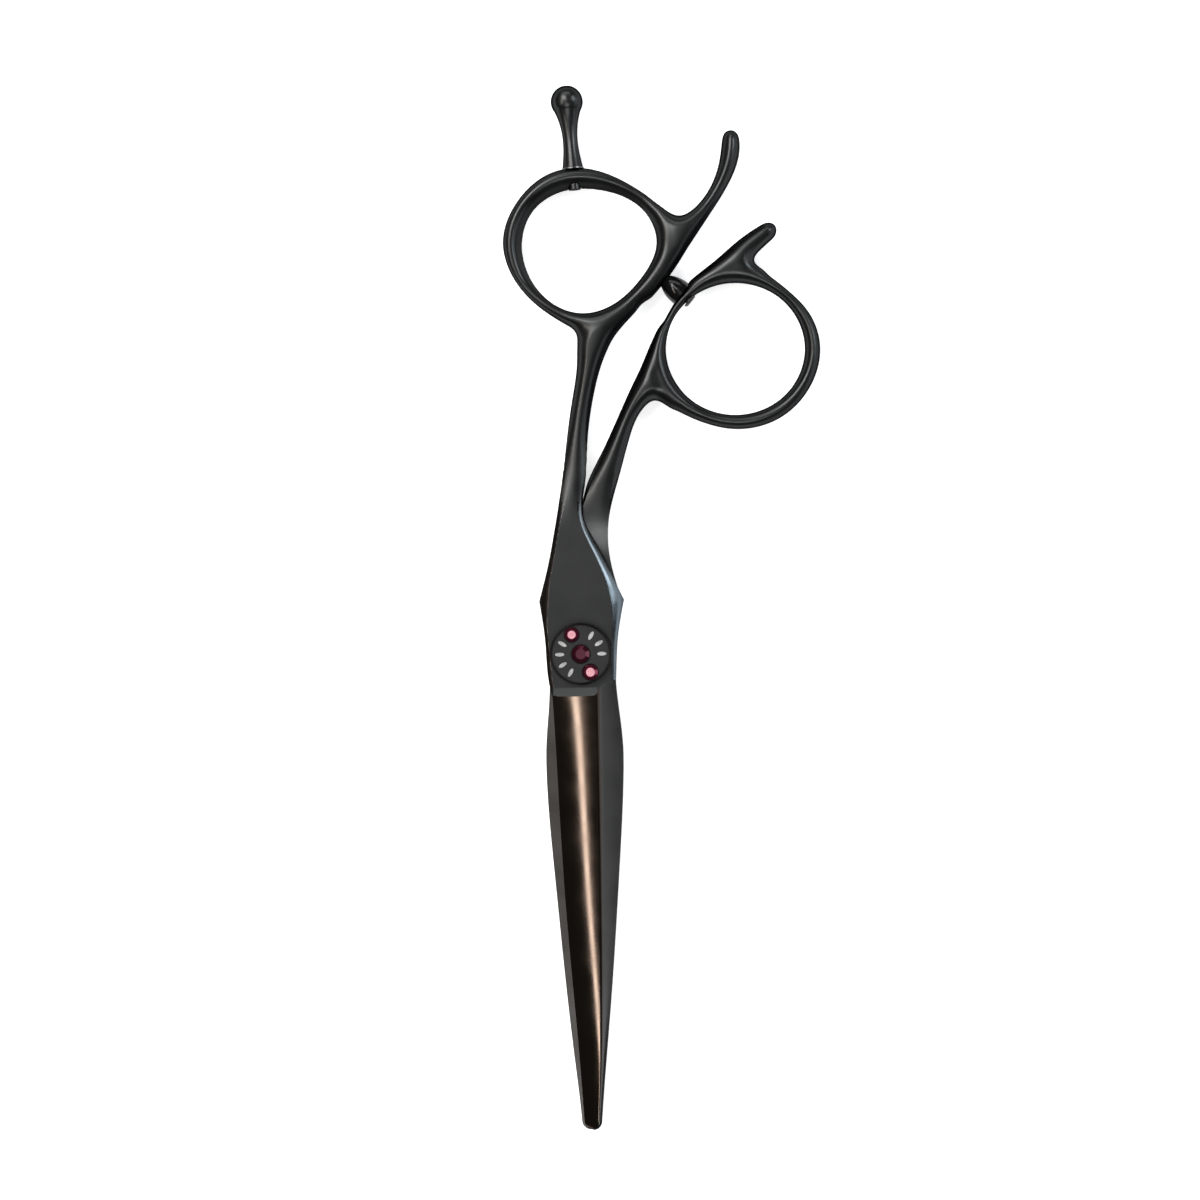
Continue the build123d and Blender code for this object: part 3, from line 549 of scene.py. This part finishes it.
FINGER_OUTER = [
    (16.4, 65.2), (14.4, 69.9), (10.0, 73.6), (3.5, 76.5), (-2.8, 76.2), (-8.2, 72.1),
    (-10.93, 65.2), (-8.5, 58.2), (-2.9, 53.1), (2.6, 50.9), (8.6, 53.3), (13.6, 58.3),
]
FINGER_INNER = [
    (13.4, 65.0), (11.3, 70.0), (4.8, 73.2), (-1.4, 73.1), (-6.0, 70.2), (-7.9, 64.6),
    (-6.0, 58.3), (-2.0, 54.7), (1.6, 53.8), (6.1, 55.0), (10.6, 58.9),
]
FINGER_BODY = outline(
    [(4.9, -9.0), (5.3, -6.0), (5.55, -2.5), (5.9, 2.5), (7.0, 8.4)],
    [
        (7.0, 8.4), (5.6, 11.3), (2.6, 17.2), (0.8, 21.5), (1.3, 27.0), (1.75, 33.0), (2.8, 40.3),
        (4.8, 47.0), (7.2, 51.5), (9.0, 54.3),
    ],
    [(9.0, 54.3), (2.0, 52.3)],
    [
        (2.0, 52.3), (0.8, 50.3), (0.4, 46.5), (-0.6, 39.7), (-2.3, 28.0), (-3.7, 19.8), (-5.0, 13.5),
        (-6.4, 8.4),
    ],
    [(-6.4, 8.4), (-5.55, 1.5), (-5.2, -4.0), (-4.7, -7.0), (-4.6, -9.0)],
    [(-4.6, -9.0), (4.9, -9.0)],
)
FINGER_HORN = outline(
    [(12.0, 56.6), (16.3, 61.2), (21.0, 67.7), (25.0, 73.8), (26.4, 76.9), (26.88, 79.4), (26.86, 80.9)],
    [(26.86, 80.9), (26.42, 81.9), (25.48, 82.28), (24.5, 81.9), (24.1, 80.9)],
    [(24.1, 80.9), (23.5, 77.0), (22.7, 74.6), (20.7, 71.3), (17.0, 68.8), (13.9, 69.3)],
    [(13.9, 69.3), (14.9, 64.0)],
    [(14.9, 64.0), (12.0, 56.6)],
)
THUMB_OUTER = [
    (38.92, 47.4), (37.4, 52.9), (33.8, 56.9), (28.6, 60.2), (22.8, 60.0), (17.2, 56.6), (14.1, 51.9),
    (12.3, 46.0), (13.4, 40.8), (19.2, 36.5), (25.6, 34.95), (32.4, 36.6), (37.2, 41.4),
]
THUMB_CENTRE = (25.5, 47.65)
THUMB_HALF_SIZE = (11.0, 10.45)
THUMB_INNER = [
    (
        THUMB_CENTRE[0] + THUMB_HALF_SIZE[0] * math.cos(math.radians(turn)),
        THUMB_CENTRE[1] + THUMB_HALF_SIZE[1] * math.sin(math.radians(turn)),
    )
    for turn in range(0, 360, 45)
]
THUMB_BODY = outline(
    [(-4.6, -9.0), (-5.1, -6.0), (-5.2, -2.5), (-5.5, 2.5), (-6.2, 8.4)],
    [
        (-6.2, 8.4), (-4.9, 11.3), (-2.0, 17.2), (0.2, 22.0), (1.62, 27.0), (3.4, 30.6), (7.9, 39.9),
        (11.5, 46.8), (13.9, 50.6),
    ],
    [(13.9, 50.6), (13.4, 44.0)],
    [(13.4, 44.0), (15.3, 39.4)],
    [
        (15.3, 39.4), (12.9, 40.1), (11.2, 39.1), (8.4, 33.8), (6.7, 28.0), (4.95, 21.5), (4.7, 17.5),
        (5.6, 12.0), (6.6, 8.6),
    ],
    [(6.6, 8.6), (5.5, 1.5), (5.2, -4.0), (4.7, -7.0), (4.6, -9.0)],
    [(4.6, -9.0), (-4.6, -9.0)],
)
THUMB_HORN = outline(
    [(18.9, 58.1), (23.7, 62.6), (27.6, 65.7), (30.19, 67.29)],
    [(30.19, 67.29), (31.2, 67.55), (32.19, 67.11), (32.47, 66.1), (32.01, 65.11)],
    [(32.01, 65.11), (29.8, 63.2), (28.5, 61.3), (29.6, 59.6)],
    [(29.6, 59.6), (25.5, 59.2)],
    [(25.5, 59.2), (21.6, 58.1)],
    [(21.6, 58.1), (18.9, 58.1)],
)

# Heights of a half's upper and lower faces along Y.
FINGER_TOP = course([(30, FRONT), (36, 5.38), (44, 5.55), (54, 5.98), (60, 5.98)])
FINGER_FOOT = course([(28, MATING + GAP), (31, 2.55), (37, 0.62), (45, 0.12), (54, 0.02), (60, 0.02)])
THUMB_TOP = course(
    [
        (11, MATING - GAP), (15, 3.04), (17, 3.36), (19, 3.86), (21, 4.32), (24, 4.8), (27.5, 5.15),
        (32, 5.45), (42, 5.98),
    ]
)
THUMB_FOOT = course([(20, BACK), (33, 0.45), (42, 0.02), (50, 0.02)])
# Widths of the crossing's bevels along Y.
RIGHT_BEVEL = course(
    [(-9, 0.6), (-4, 0.7), (0, 0.9), (5.5, 1.25), (8.4, 1.8), (11, 1.3), (14, 0.95), (22, 0.6), (30, 0.7)]
)
LEFT_BEVEL = course(
    [(-9, 0.45), (0, 0.6), (5.5, 0.8), (8.4, 1.3), (11, 0.95), (14, 0.75), (22, 0.7), (30, 0.8)]
)
BEVEL_SLOPE = 0.36  # a crossing bevel's slope where it starts
BEVEL_CURVE = 0.27  # how much it steepens to the rim
BEVEL_SPLIT = (1.0, 0.05)  # X at Y 0 of the line between the bevels, and its lean towards -X
HEEL_BEVEL_Y = -5.3  # the crossing's lower margin leans down towards the blade from here
HEEL_SLOPE = 0.12
HEEL_CORNER = (2.4, 3.6)  # beside the blade's flat back, between these X, that margin ends
HEEL_CORNER_DROP = 4.0
HEEL_Y = -6.7  # the crossing ends here above the blade's bevel, and HEEL_STEP sooner above its flat back
HEEL_STEP = 1.9
HEEL_STEP_X = (2.2, 3.4)
HEEL_BOW = 0.012  # how much that end is bowed
RIM_END = 24.0  # the crossing's polished bevels, and their painted reflection colours, fade into the handle here
BLEND_Y = (19.0, 31.0)  # the flat crossing turns into the rounded handle between these
FILLET = 2.4  # width of the fillets where a ring, a shank and a horn meet
PLAN_BLUR = 0.4  # how far a plan's creases are smoothed for the rounded handles,
FACET_BLUR = 0.9  # for the crossing's bevels
DEPTH_BLUR = 0.8  # and for the swelling of broad parts
ROUND_WIDTH = 1.9  # how far in from the rim a handle is rounded, and how far down
ROUND_DROP = 2.2
ROUND_SHARE = 0.9  # the most of a handle's half thickness that its rounding takes
DOME_RISE = 0.9  # broad parts of a handle swell by this much more over DOME_WIDTH from the rim
DOME_WIDTH = 2.0
FLARE_RISE = 2.0  # the finger ring's upper left is flared this deep towards its opening
FLARE_WIDTH = 1.3
FLARE_START = 56.0  # the flare grows over FLARE_LENGTH from this Y, at X 0
FLARE_LENGTH = 9.0
FLARE_LEAN = 0.6


class Half:
    """The handle and crossing of one half, as a field in millimetres.

    side is 1 on the finger half, whose flat front faces up, and -1 on the thumb half.
    """

    def __init__(self, outer, inner, body, horn, low, high, side):
        self.side = side
        self.top, self.foot = (FINGER_TOP, FINGER_FOOT) if side > 0 else (THUMB_TOP, THUMB_FOOT)
        self.grid = Grid(low, high, STEP)
        ring_out = self.grid.distance(spline(outer, closed=True))
        ring_in = self.grid.distance(spline(inner, closed=True))
        plan = soft_union(np.maximum(ring_out, -ring_in), self.grid.distance(body), FILLET)
        plan = soft_union(plan, self.grid.distance(horn), FILLET)
        self.sharp = np.maximum(plan, -ring_in)
        self.plan = self.grid.blur(self.sharp, PLAN_BLUR)
        self.facet = self.grid.blur(self.sharp, FACET_BLUR)
        self.lip = np.exp(-self.grid.blur(np.maximum(ring_in, 0), PLAN_BLUR) / FLARE_WIDTH)
        self.depth = np.exp(self.grid.blur(np.minimum(self.sharp, 0), DEPTH_BLUR) / DOME_WIDTH)
        self.holes = []

    def handle(self, points):
        """The rounded handle, swollen where it is broad and flared inside the finger ring."""
        x, y, z = points.T
        top, foot = self.top(y), self.foot(y)
        soft = self.grid.at(self.plan, points)
        half = (top - foot) / 2 - DOME_RISE * self.grid.at(self.depth, points)
        if self.side > 0:
            flare = ease(y - FLARE_LEAN * x, FLARE_START, FLARE_START + FLARE_LENGTH)
            half = half - FLARE_RISE * flare * self.grid.at(self.lip, points)
        drop = np.minimum(ROUND_DROP, half * ROUND_SHARE)
        inward = np.clip(1 + soft / ROUND_WIDTH, 0, None)
        upward = np.clip((np.abs(z - (top + foot) / 2) - half + drop) / drop, 0, None)
        rounded = np.maximum(drop * (np.sqrt(inward**2 + upward**2 + 1e-9) - 1), soft)
        return np.where((inward == 0) & (upward == 0), np.maximum(soft, -1.0), rounded)

    def crossing(self, points):
        """The flat crossing, with bevelled rims and a margin that leans down to the blade."""
        x, y, z = points.T
        top, foot = self.top(y), self.foot(y)
        face = (z - top) if self.side > 0 else (foot - z)
        split_x, split_lean = BEVEL_SPLIT
        on_right = x * self.side > (split_x - y * split_lean) * self.side
        width = np.where(on_right, RIGHT_BEVEL(y), LEFT_BEVEL(y))
        across = 1 + self.grid.at(self.facet, points) / width
        sink = width * (BEVEL_SLOPE * across + BEVEL_CURVE * np.maximum(across, 0) ** 2)
        bevel = (face + sink) / math.hypot(1, BEVEL_SLOPE + BEVEL_CURVE)
        reach = self.grid.at(self.sharp, points)
        flat = np.maximum(np.maximum(reach, bevel), np.maximum(z - top, foot - z))
        heel = HEEL_BEVEL_Y - y - HEEL_CORNER_DROP * ease(x * self.side, *HEEL_CORNER)
        return np.maximum(flat, (face + HEEL_SLOPE * heel) / math.hypot(1, HEEL_SLOPE))

    def __call__(self, points):
        share = ease(points[:, 1], *BLEND_Y)
        field = self.crossing(points) * (1 - share) + self.handle(points) * share
        for hole in self.holes:
            field = np.maximum(field, -hole(points))
        return field


finger_half = Half(FINGER_OUTER, FINGER_INNER, FINGER_BODY, FINGER_HORN, (-12.5, -9.5), (28.5, 84.0), 1)
thumb_half = Half(THUMB_OUTER, THUMB_INNER, THUMB_BODY, THUMB_HORN, (-8.0, -9.5), (40.5, 69.5), -1)


# ---- holes ---------------------------------------------------------------------------------------
ROOM_GRID = Grid((-9.0, -9.5), (12.0, 40.0), STEP)
ROOM_DISTANCE = ROOM_GRID.distance(FINGER_BODY)
ROOM_GAP = 0.14  # side clearance of the thumb half from the finger half's crossing
ROOM_Y = (-9.0, 38.0)
SQUARE_HALF = 2.12  # half the width of the bolt's square hole, which goes right through to SQUARE_TOP
SQUARE_TOP = 3.1
BUSH_RADIUS = 2.9
BEARING_RADIUS = 4.2
BEARING_FLOOR = 4.3  # height of the floor of the bearing's pocket
BOLT_HEAD_RADIUS = 4.03
BOLT_HEAD_TOP = 1.0
STUD_RADIUS = 1.05
WASHER_RADIUS = 1.87
PIN_RADIUS = 0.78
PLUG_HEAD_RADIUS = 1.23
PLUG_HEAD_TOP = -1.45  # along the bumper's axis, from its foot
BUMPER_RADIUS = 2.03
UP = (0.0, 0.0, 1.0)
PIVOT = (0.0, 0.0, 0.0)
REST_ANGLE = math.radians(93.9)  # angles of the finger rest and the bumper, from +X
REST_AXIS = (math.cos(REST_ANGLE), math.sin(REST_ANGLE), 0.0)
REST_FOOT = (0.42, 76.5, MIDDLE)
BUMPER_ANGLE = math.radians(140)
BUMPER_AXIS = (math.cos(BUMPER_ANGLE), math.sin(BUMPER_ANGLE), 0.0)
BUMPER_FOOT = (17.25, 56.5, MIDDLE)


def finger_room(points):
    """The room that the finger half's crossing needs above the thumb half."""
    inside = (points[:, 1] < ROOM_Y[1]) & (points[:, 1] > ROOM_Y[0])
    gap = np.where(inside, ROOM_GRID.at(ROOM_DISTANCE, points) - ROOM_GAP, FAR)
    return np.maximum(gap, MATING - GAP - points[:, 2])


def heel_room(side):
    """Everything past the heel, where the blade's own surface takes over."""

    def field(points):
        outward = points[:, 0] * side
        right = ease(outward, *HEEL_STEP_X)
        return points[:, 1] - (HEEL_Y + HEEL_STEP * right + HEEL_BOW * (outward + 1) ** 2 * (1 - right))

    return field


def square_hole(points):
    return np.maximum(np.abs(points[:, :2]).max(1) - SQUARE_HALF, points[:, 2] - SQUARE_TOP)


def bore(origin, axis, radius, low, high):
    """A round hole from low to high mm along axis. Where it opens out, it runs on past the surface."""
    return lambda points: cylinder(points, origin, axis, radius, low, high)


finger_half.holes += [
    heel_room(1),
    bore(PIVOT, UP, BUSH_RADIUS, 2.0, 6.0),
    bore(PIVOT, UP, BEARING_RADIUS, BEARING_FLOOR, 6.0),
    bore(REST_FOOT, REST_AXIS, STUD_RADIUS, -4.5, 1.0),
    bore(REST_FOOT, REST_AXIS, WASHER_RADIUS, 0.0, 3.0),
]
thumb_half.holes += [
    heel_room(-1),
    finger_room,
    bore(PIVOT, UP, BOLT_HEAD_RADIUS, -1.0, BOLT_HEAD_TOP),
    square_hole,
    bore(BUMPER_FOOT, BUMPER_AXIS, PIN_RADIUS, -3.0, 1.0),
    bore(BUMPER_FOOT, BUMPER_AXIS, PLUG_HEAD_RADIUS, -3.5, PLUG_HEAD_TOP),
    bore(BUMPER_FOOT, BUMPER_AXIS, BUMPER_RADIUS, 0.0, 2.0),
]


# ---- blades --------------------------------------------------------------------------------------
CROWN = 0.09  # how far a blade's back falls away at its spine
CROWN_START = 0.25  # where that begins, as a share of the back's width
CHAMFER = 0.14  # at the spine
BULGE = 0.20  # of the convex bevel, where it is wider than BULGE_FULL_WIDTH
BULGE_FULL_WIDTH = 6.0
HOLLOW = 0.07  # depth of the hollow in the inner face
HOLLOW_START = (-9.0, -16.0)  # it deepens between these Y near the pivot, and runs out at HOLLOW_END
HOLLOW_END = (-73.0, -63.0)
LIFT = 0.004  # keeps a blade's inner face off its crossing's flat face, inside which it starts
LAND = 0.03  # thickness left at the cutting edge
MIN_BACK = 0.35  # the least width of the flat back
BLADE_START = -4.2  # inside the crossing
TIP_START = -73.9  # the point is rounded from here
TIP_LENGTH = 1.4
TIP_RADIUS = 1.41  # a little over its length, so that its last section has some width
TIP_TURN = 1.52  # angle of its last section
TIP_STOCK = 0.35  # share of the thickness left at the very point
STRAIGHT_END = -73.4
STRAIGHT_SECTIONS = 96
TIP_SECTIONS = 11
BEVEL_STEPS = 12
BACK_STEPS = 6
INNER_STEPS = 8
RIDGE = course([(-75.3, 1.1), (-66, 1.75), (-55, 2.15), (-30, 2.6), (-7, 2.8), (-3, 2.85)])
BACK_TOP = course(
    [
        (-75.3, 4.43), (-65, 4.69), (-56, 4.95), (-50, 5.08), (-39, 5.25), (-30, 5.32), (-14, 5.37),
        (-3, 5.38),
    ]
)

# The order of a half's materials, which its faces' material indices follow.
HALF_MATERIALS = ("coated_steel", "bevel_steel", "blade_steel", "inner_steel", "rim_blue", "rim_brown")
COATED, BEVEL, FLAT_BACK, INNER, RIGHT_RIM_PAINTED, LEFT_RIM_PAINTED = range(6)


class Blade:
    """One ground blade: a flat back along the spine, a convex polished bevel and a hollow inner face."""

    def __init__(self, side, edge, spine, tip):
        self.side = side
        self.edge = course(edge)
        self.spine = course(spine)
        self.tip = tip

    def section(self, y):
        """The closed section at y, as (x, z) rows, for the finger half's side up."""
        close = math.sqrt(max(0.0, 1 - (max(0.0, TIP_START - y) / TIP_RADIUS) ** 2))
        middle = self.tip * self.side
        edge = middle + (self.edge(y) * self.side - middle) * close
        spine = middle + (self.spine(y) * self.side - middle) * close
        ridge = min(middle + (RIDGE(y) - middle) * close, spine - MIN_BACK * close)
        low = MATING + GAP + LIFT
        top = low + (BACK_TOP(y) - low) * (TIP_STOCK + (1 - TIP_STOCK) * close)
        lip = low + LAND
        width, rise = ridge - edge, top - lip
        chamfer = CHAMFER * close
        share = np.linspace(0, 1, BEVEL_STEPS + 1)
        bulge = BULGE * min(1.0, width / BULGE_FULL_WIDTH) * 4 * share * (1 - share)
        length = math.hypot(width, rise) + 1e-9
        bevel = np.column_stack(
            [edge + width * share - bulge * rise / length, lip + rise * share + bulge * width / length]
        )
        run = np.linspace(0, 1, BACK_STEPS + 1)[1:]
        crown = CROWN * close * (np.clip(run - CROWN_START, 0, 1) / (1 - CROWN_START)) ** 2
        back = np.column_stack([ridge + (spine - chamfer - ridge) * run, top - crown])
        back = np.vstack([back, [(spine, top - CROWN * close - chamfer), (spine, low)]])
        across = np.linspace(0, 1, INNER_STEPS)[1:-1]
        depth = HOLLOW * ease(y, *HOLLOW_START) * ease(y, *HOLLOW_END)
        inner = np.column_stack([spine + (edge - spine) * across, low + depth * np.sin(across * math.pi)])
        return np.vstack([bevel, back, inner, [(edge, low)]])

    def surface(self):
        """The blade's vertices, its faces and the material index of each face."""
        turns = np.linspace(0.0, TIP_TURN, TIP_SECTIONS)
        straight = np.linspace(BLADE_START, STRAIGHT_END, STRAIGHT_SECTIONS)
        ys = np.concatenate([straight, TIP_START - TIP_LENGTH * np.sin(turns)])
        sections = [self.section(y) for y in ys]
        size = len(sections[0])
        vertices = []
        for y, section in zip(ys, sections):
            for x, z in section:
                vertices.append((x * self.side, y, z if self.side > 0 else 2 * MATING - z))
        inner_start = BEVEL_STEPS + BACK_STEPS + 2
        faces, kinds = [], []
        for row in range(len(ys) - 1):
            for step in range(size):
                near = row * size + step
                far = row * size + (step + 1) % size
                faces.append((near, far, far + size, near + size))
                kinds.append(BEVEL if step < BEVEL_STEPS else FLAT_BACK if step < inner_start else INNER)
        faces.append(tuple(range(size))[::-1])
        faces.append(tuple(range(len(vertices) - size, len(vertices))))
        kinds += [FLAT_BACK, FLAT_BACK]
        if self.side > 0:
            faces = [face[::-1] for face in faces]
        return vertices, faces, kinds


finger_blade = Blade(
    1,
    [
        (-75.3, -1.0), (-73.8, -1.08), (-66.0, -1.5), (-55.0, -2.25), (-39.0, -3.32), (-20.5, -4.1),
        (-6.8, -4.66), (-3.0, -4.9),
    ],
    [
        (-75.3, 1.62), (-73.8, 1.74), (-66.0, 2.45), (-54.6, 3.6), (-34.6, 5.3), (-19.5, 6.3),
        (-14.5, 6.35), (-6.0, 5.55), (-3.0, 5.35),
    ],
    0.3,
)
thumb_blade = Blade(
    -1,
    [(-75.3, 0.95), (-73.8, 1.05), (-54.9, 2.5), (-39.0, 3.45), (-20.5, 4.2), (-7.0, 4.7), (-3.0, 4.8)],
    [
        (-75.3, -1.4), (-73.8, -1.48), (-66.0, -2.2), (-54.9, -3.3), (-35.1, -4.9), (-19.5, -5.85),
        (-14.5, -5.8), (-6.0, -5.1), (-3.0, -5.05),
    ],
    -0.1,
)

# ---- the halves' pieces --------------------------------------------------------------------------
RIM_FACING = (0.3, 0.97)  # a crossing's bevels, which take the painted reflection colours, are the faces whose normal's z lies between these


def half_object(name, grip, blade):
    """One half as a single piece: its contoured handle and its ground blade."""
    grip_vertices, grip_faces, grip_normals = grip
    blade_vertices, blade_faces, kinds = blade.surface()
    shift = len(grip_vertices)
    vertices = np.vstack([grip_vertices, np.array(blade_vertices)])
    faces = grip_faces + [tuple(shift + corner for corner in face) for face in blade_faces]
    thing = mesh_object(name, vertices, faces)
    mesh = thing.data
    centres = np.array([grip_vertices[list(face)].mean(0) for face in grip_faces])
    starts = np.cumsum([0] + [len(face) for face in grip_faces[:-1]])
    upward = grip_normals[starts, 2] * blade.side
    along = centres[:, 1]
    # Sloping faces of the crossing take the painted reflections: cool on the right, warm on the left.
    sloping = (upward > RIM_FACING[0]) & (upward < RIM_FACING[1]) & (along < RIM_END) & (along > HEEL_BEVEL_Y)
    grip_kinds = np.where(sloping, np.where(centres[:, 0] > 0, RIGHT_RIM_PAINTED, LEFT_RIM_PAINTED), COATED)
    mesh.polygons.foreach_set("material_index", np.concatenate([grip_kinds, kinds]).astype(np.int32))
    corner_normals = np.empty((len(mesh.loops), 3), np.float32)
    mesh.corner_normals.foreach_get("vector", corner_normals.ravel())
    corner_normals[: len(grip_normals)] = grip_normals  # the handle's corners come first
    mesh.normals_split_custom_set(corner_normals.tolist())
    return thing


# The boxes hold each half's handle and crossing, with room to spare.
finger_grip = contour(finger_half, (-11.6, -7.9, -0.3), (27.6, 83.2, 6.3), STEP)
thumb_grip = contour(thumb_half, (-7.2, -7.9, -0.3), (39.7, 68.6, 6.3), STEP)
finger_half_piece = half_object("finger_half", finger_grip, finger_blade)
thumb_half_piece = half_object("thumb_half", thumb_grip, thumb_blade)


def coat(thing, body, node, *names):
    """Ride thing on body in place of node, with its materials in order."""
    for name in names:
        thing.data.materials.append(MATERIALS[name])
    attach(thing, body)
    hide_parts(node)


coat(finger_half_piece, "finger_half", "finger_blade", *HALF_MATERIALS)
coat(thumb_half_piece, "thumb_half", "thumb_blade", *HALF_MATERIALS)


# ---- stage ---------------------------------------------------------------------------------------
FLOOR_HALF = 10.0  # metres
FLOOR_Z = -0.0002  # just under the bolt's head, which lies on the CAD model's floor
FLOOR_GLOW = 0.6
WORLD_COLOUR = (1.0, 0.98, 0.96, 1.0)
WORLD_STRENGTH = 0.13


def plane_object(name, half, place):
    """A level square, half metres from its middle to its sides."""
    mesh = bpy.data.meshes.new(name)
    corners = [(-half, -half, 0), (half, -half, 0), (half, half, 0), (-half, half, 0)]
    mesh.from_pydata(corners, [], [(0, 1, 2, 3)])
    thing = bpy.data.objects.new(name, mesh)
    thing.location = place
    bpy.context.scene.collection.objects.link(thing)
    return thing


floor = plane_object("floor", FLOOR_HALF, (0, 0, FLOOR_Z))
floor_shader = Shader("floor_paint")
floor_tone = floor_shader.noise(14.0, 3.0)
floor_shader.set(
    Base_Color=floor_shader.mix(floor_tone, (0.86, 0.86, 0.86), (0.88, 0.88, 0.88)),
    Roughness=floor_shader.span(floor_tone, 0.75, 0.85),
    Emission_Color=(1.0, 1.0, 1.0),
    Emission_Strength=FLOOR_GLOW,
)
floor.data.materials.append(floor_shader.material)

world = bpy.data.worlds.new("world")
world.use_nodes = True
world.node_tree.nodes["Background"].inputs["Color"].default_value = WORLD_COLOUR
world.node_tree.nodes["Background"].inputs["Strength"].default_value = WORLD_STRENGTH
bpy.context.scene.world = world
bpy.context.scene.view_settings.view_transform = "Standard"


def softbox(name, tilt, turn, distance, size, radiance, colour=(1.0, 1.0, 1.0)):
    """A soft light that faces the object from distance metres, tilted from overhead and turned from +X."""
    tilt, turn = math.radians(tilt), math.radians(turn)
    towards = (math.sin(tilt) * math.cos(turn), math.sin(tilt) * math.sin(turn), math.cos(tilt))
    light = bpy.data.lights.new(name, "AREA")
    light.shape = "RECTANGLE"
    light.size, light.size_y = size
    light.energy = radiance * math.pi * size[0] * size[1]
    light.color = colour
    thing = bpy.data.objects.new(name, light)
    thing.location = distance * Vector(towards)
    thing.rotation_euler = (tilt, 0.0, turn + math.pi / 2)
    bpy.context.scene.collection.objects.link(thing)


# tilt and turn in degrees, distance and size in metres, radiance, colour
COOL = (0.90, 0.96, 1.0)
softbox("overhead", 8.5, 180, 1.3, (1.3, 0.44), 1.25)  # an even grey on the flat faces
softbox("strip", 33.4, 163, 0.93, (0.95, 0.05), 24.0, (1.0, 0.92, 0.86))  # the line along the blade's bevel
softbox("glow", 32.5, 163, 0.95, (0.95, 0.12), 1.0, (1.0, 0.90, 0.82))  # the soft edges of that line
softbox("upper_box", 33, 125, 1.0, (0.35, 0.5), 8.5)  # highlights on the handles, from the upper left
softbox("near_box", 27, 275, 1.0, (0.3, 0.16), 15.0)  # the margin above the blade's heel
softbox("cross_box", 52, 26, 1.0, (0.4, 0.3), 9.5, (0.88, 0.95, 1.0))  # the crossing's right bevel
softbox("right_box", 72, 0, 1.0, (0.9, 0.25), 2.2, COOL)  # right rims
softbox("far_box", 58, 95, 1.1, (0.9, 0.35), 3.0)  # upper rims
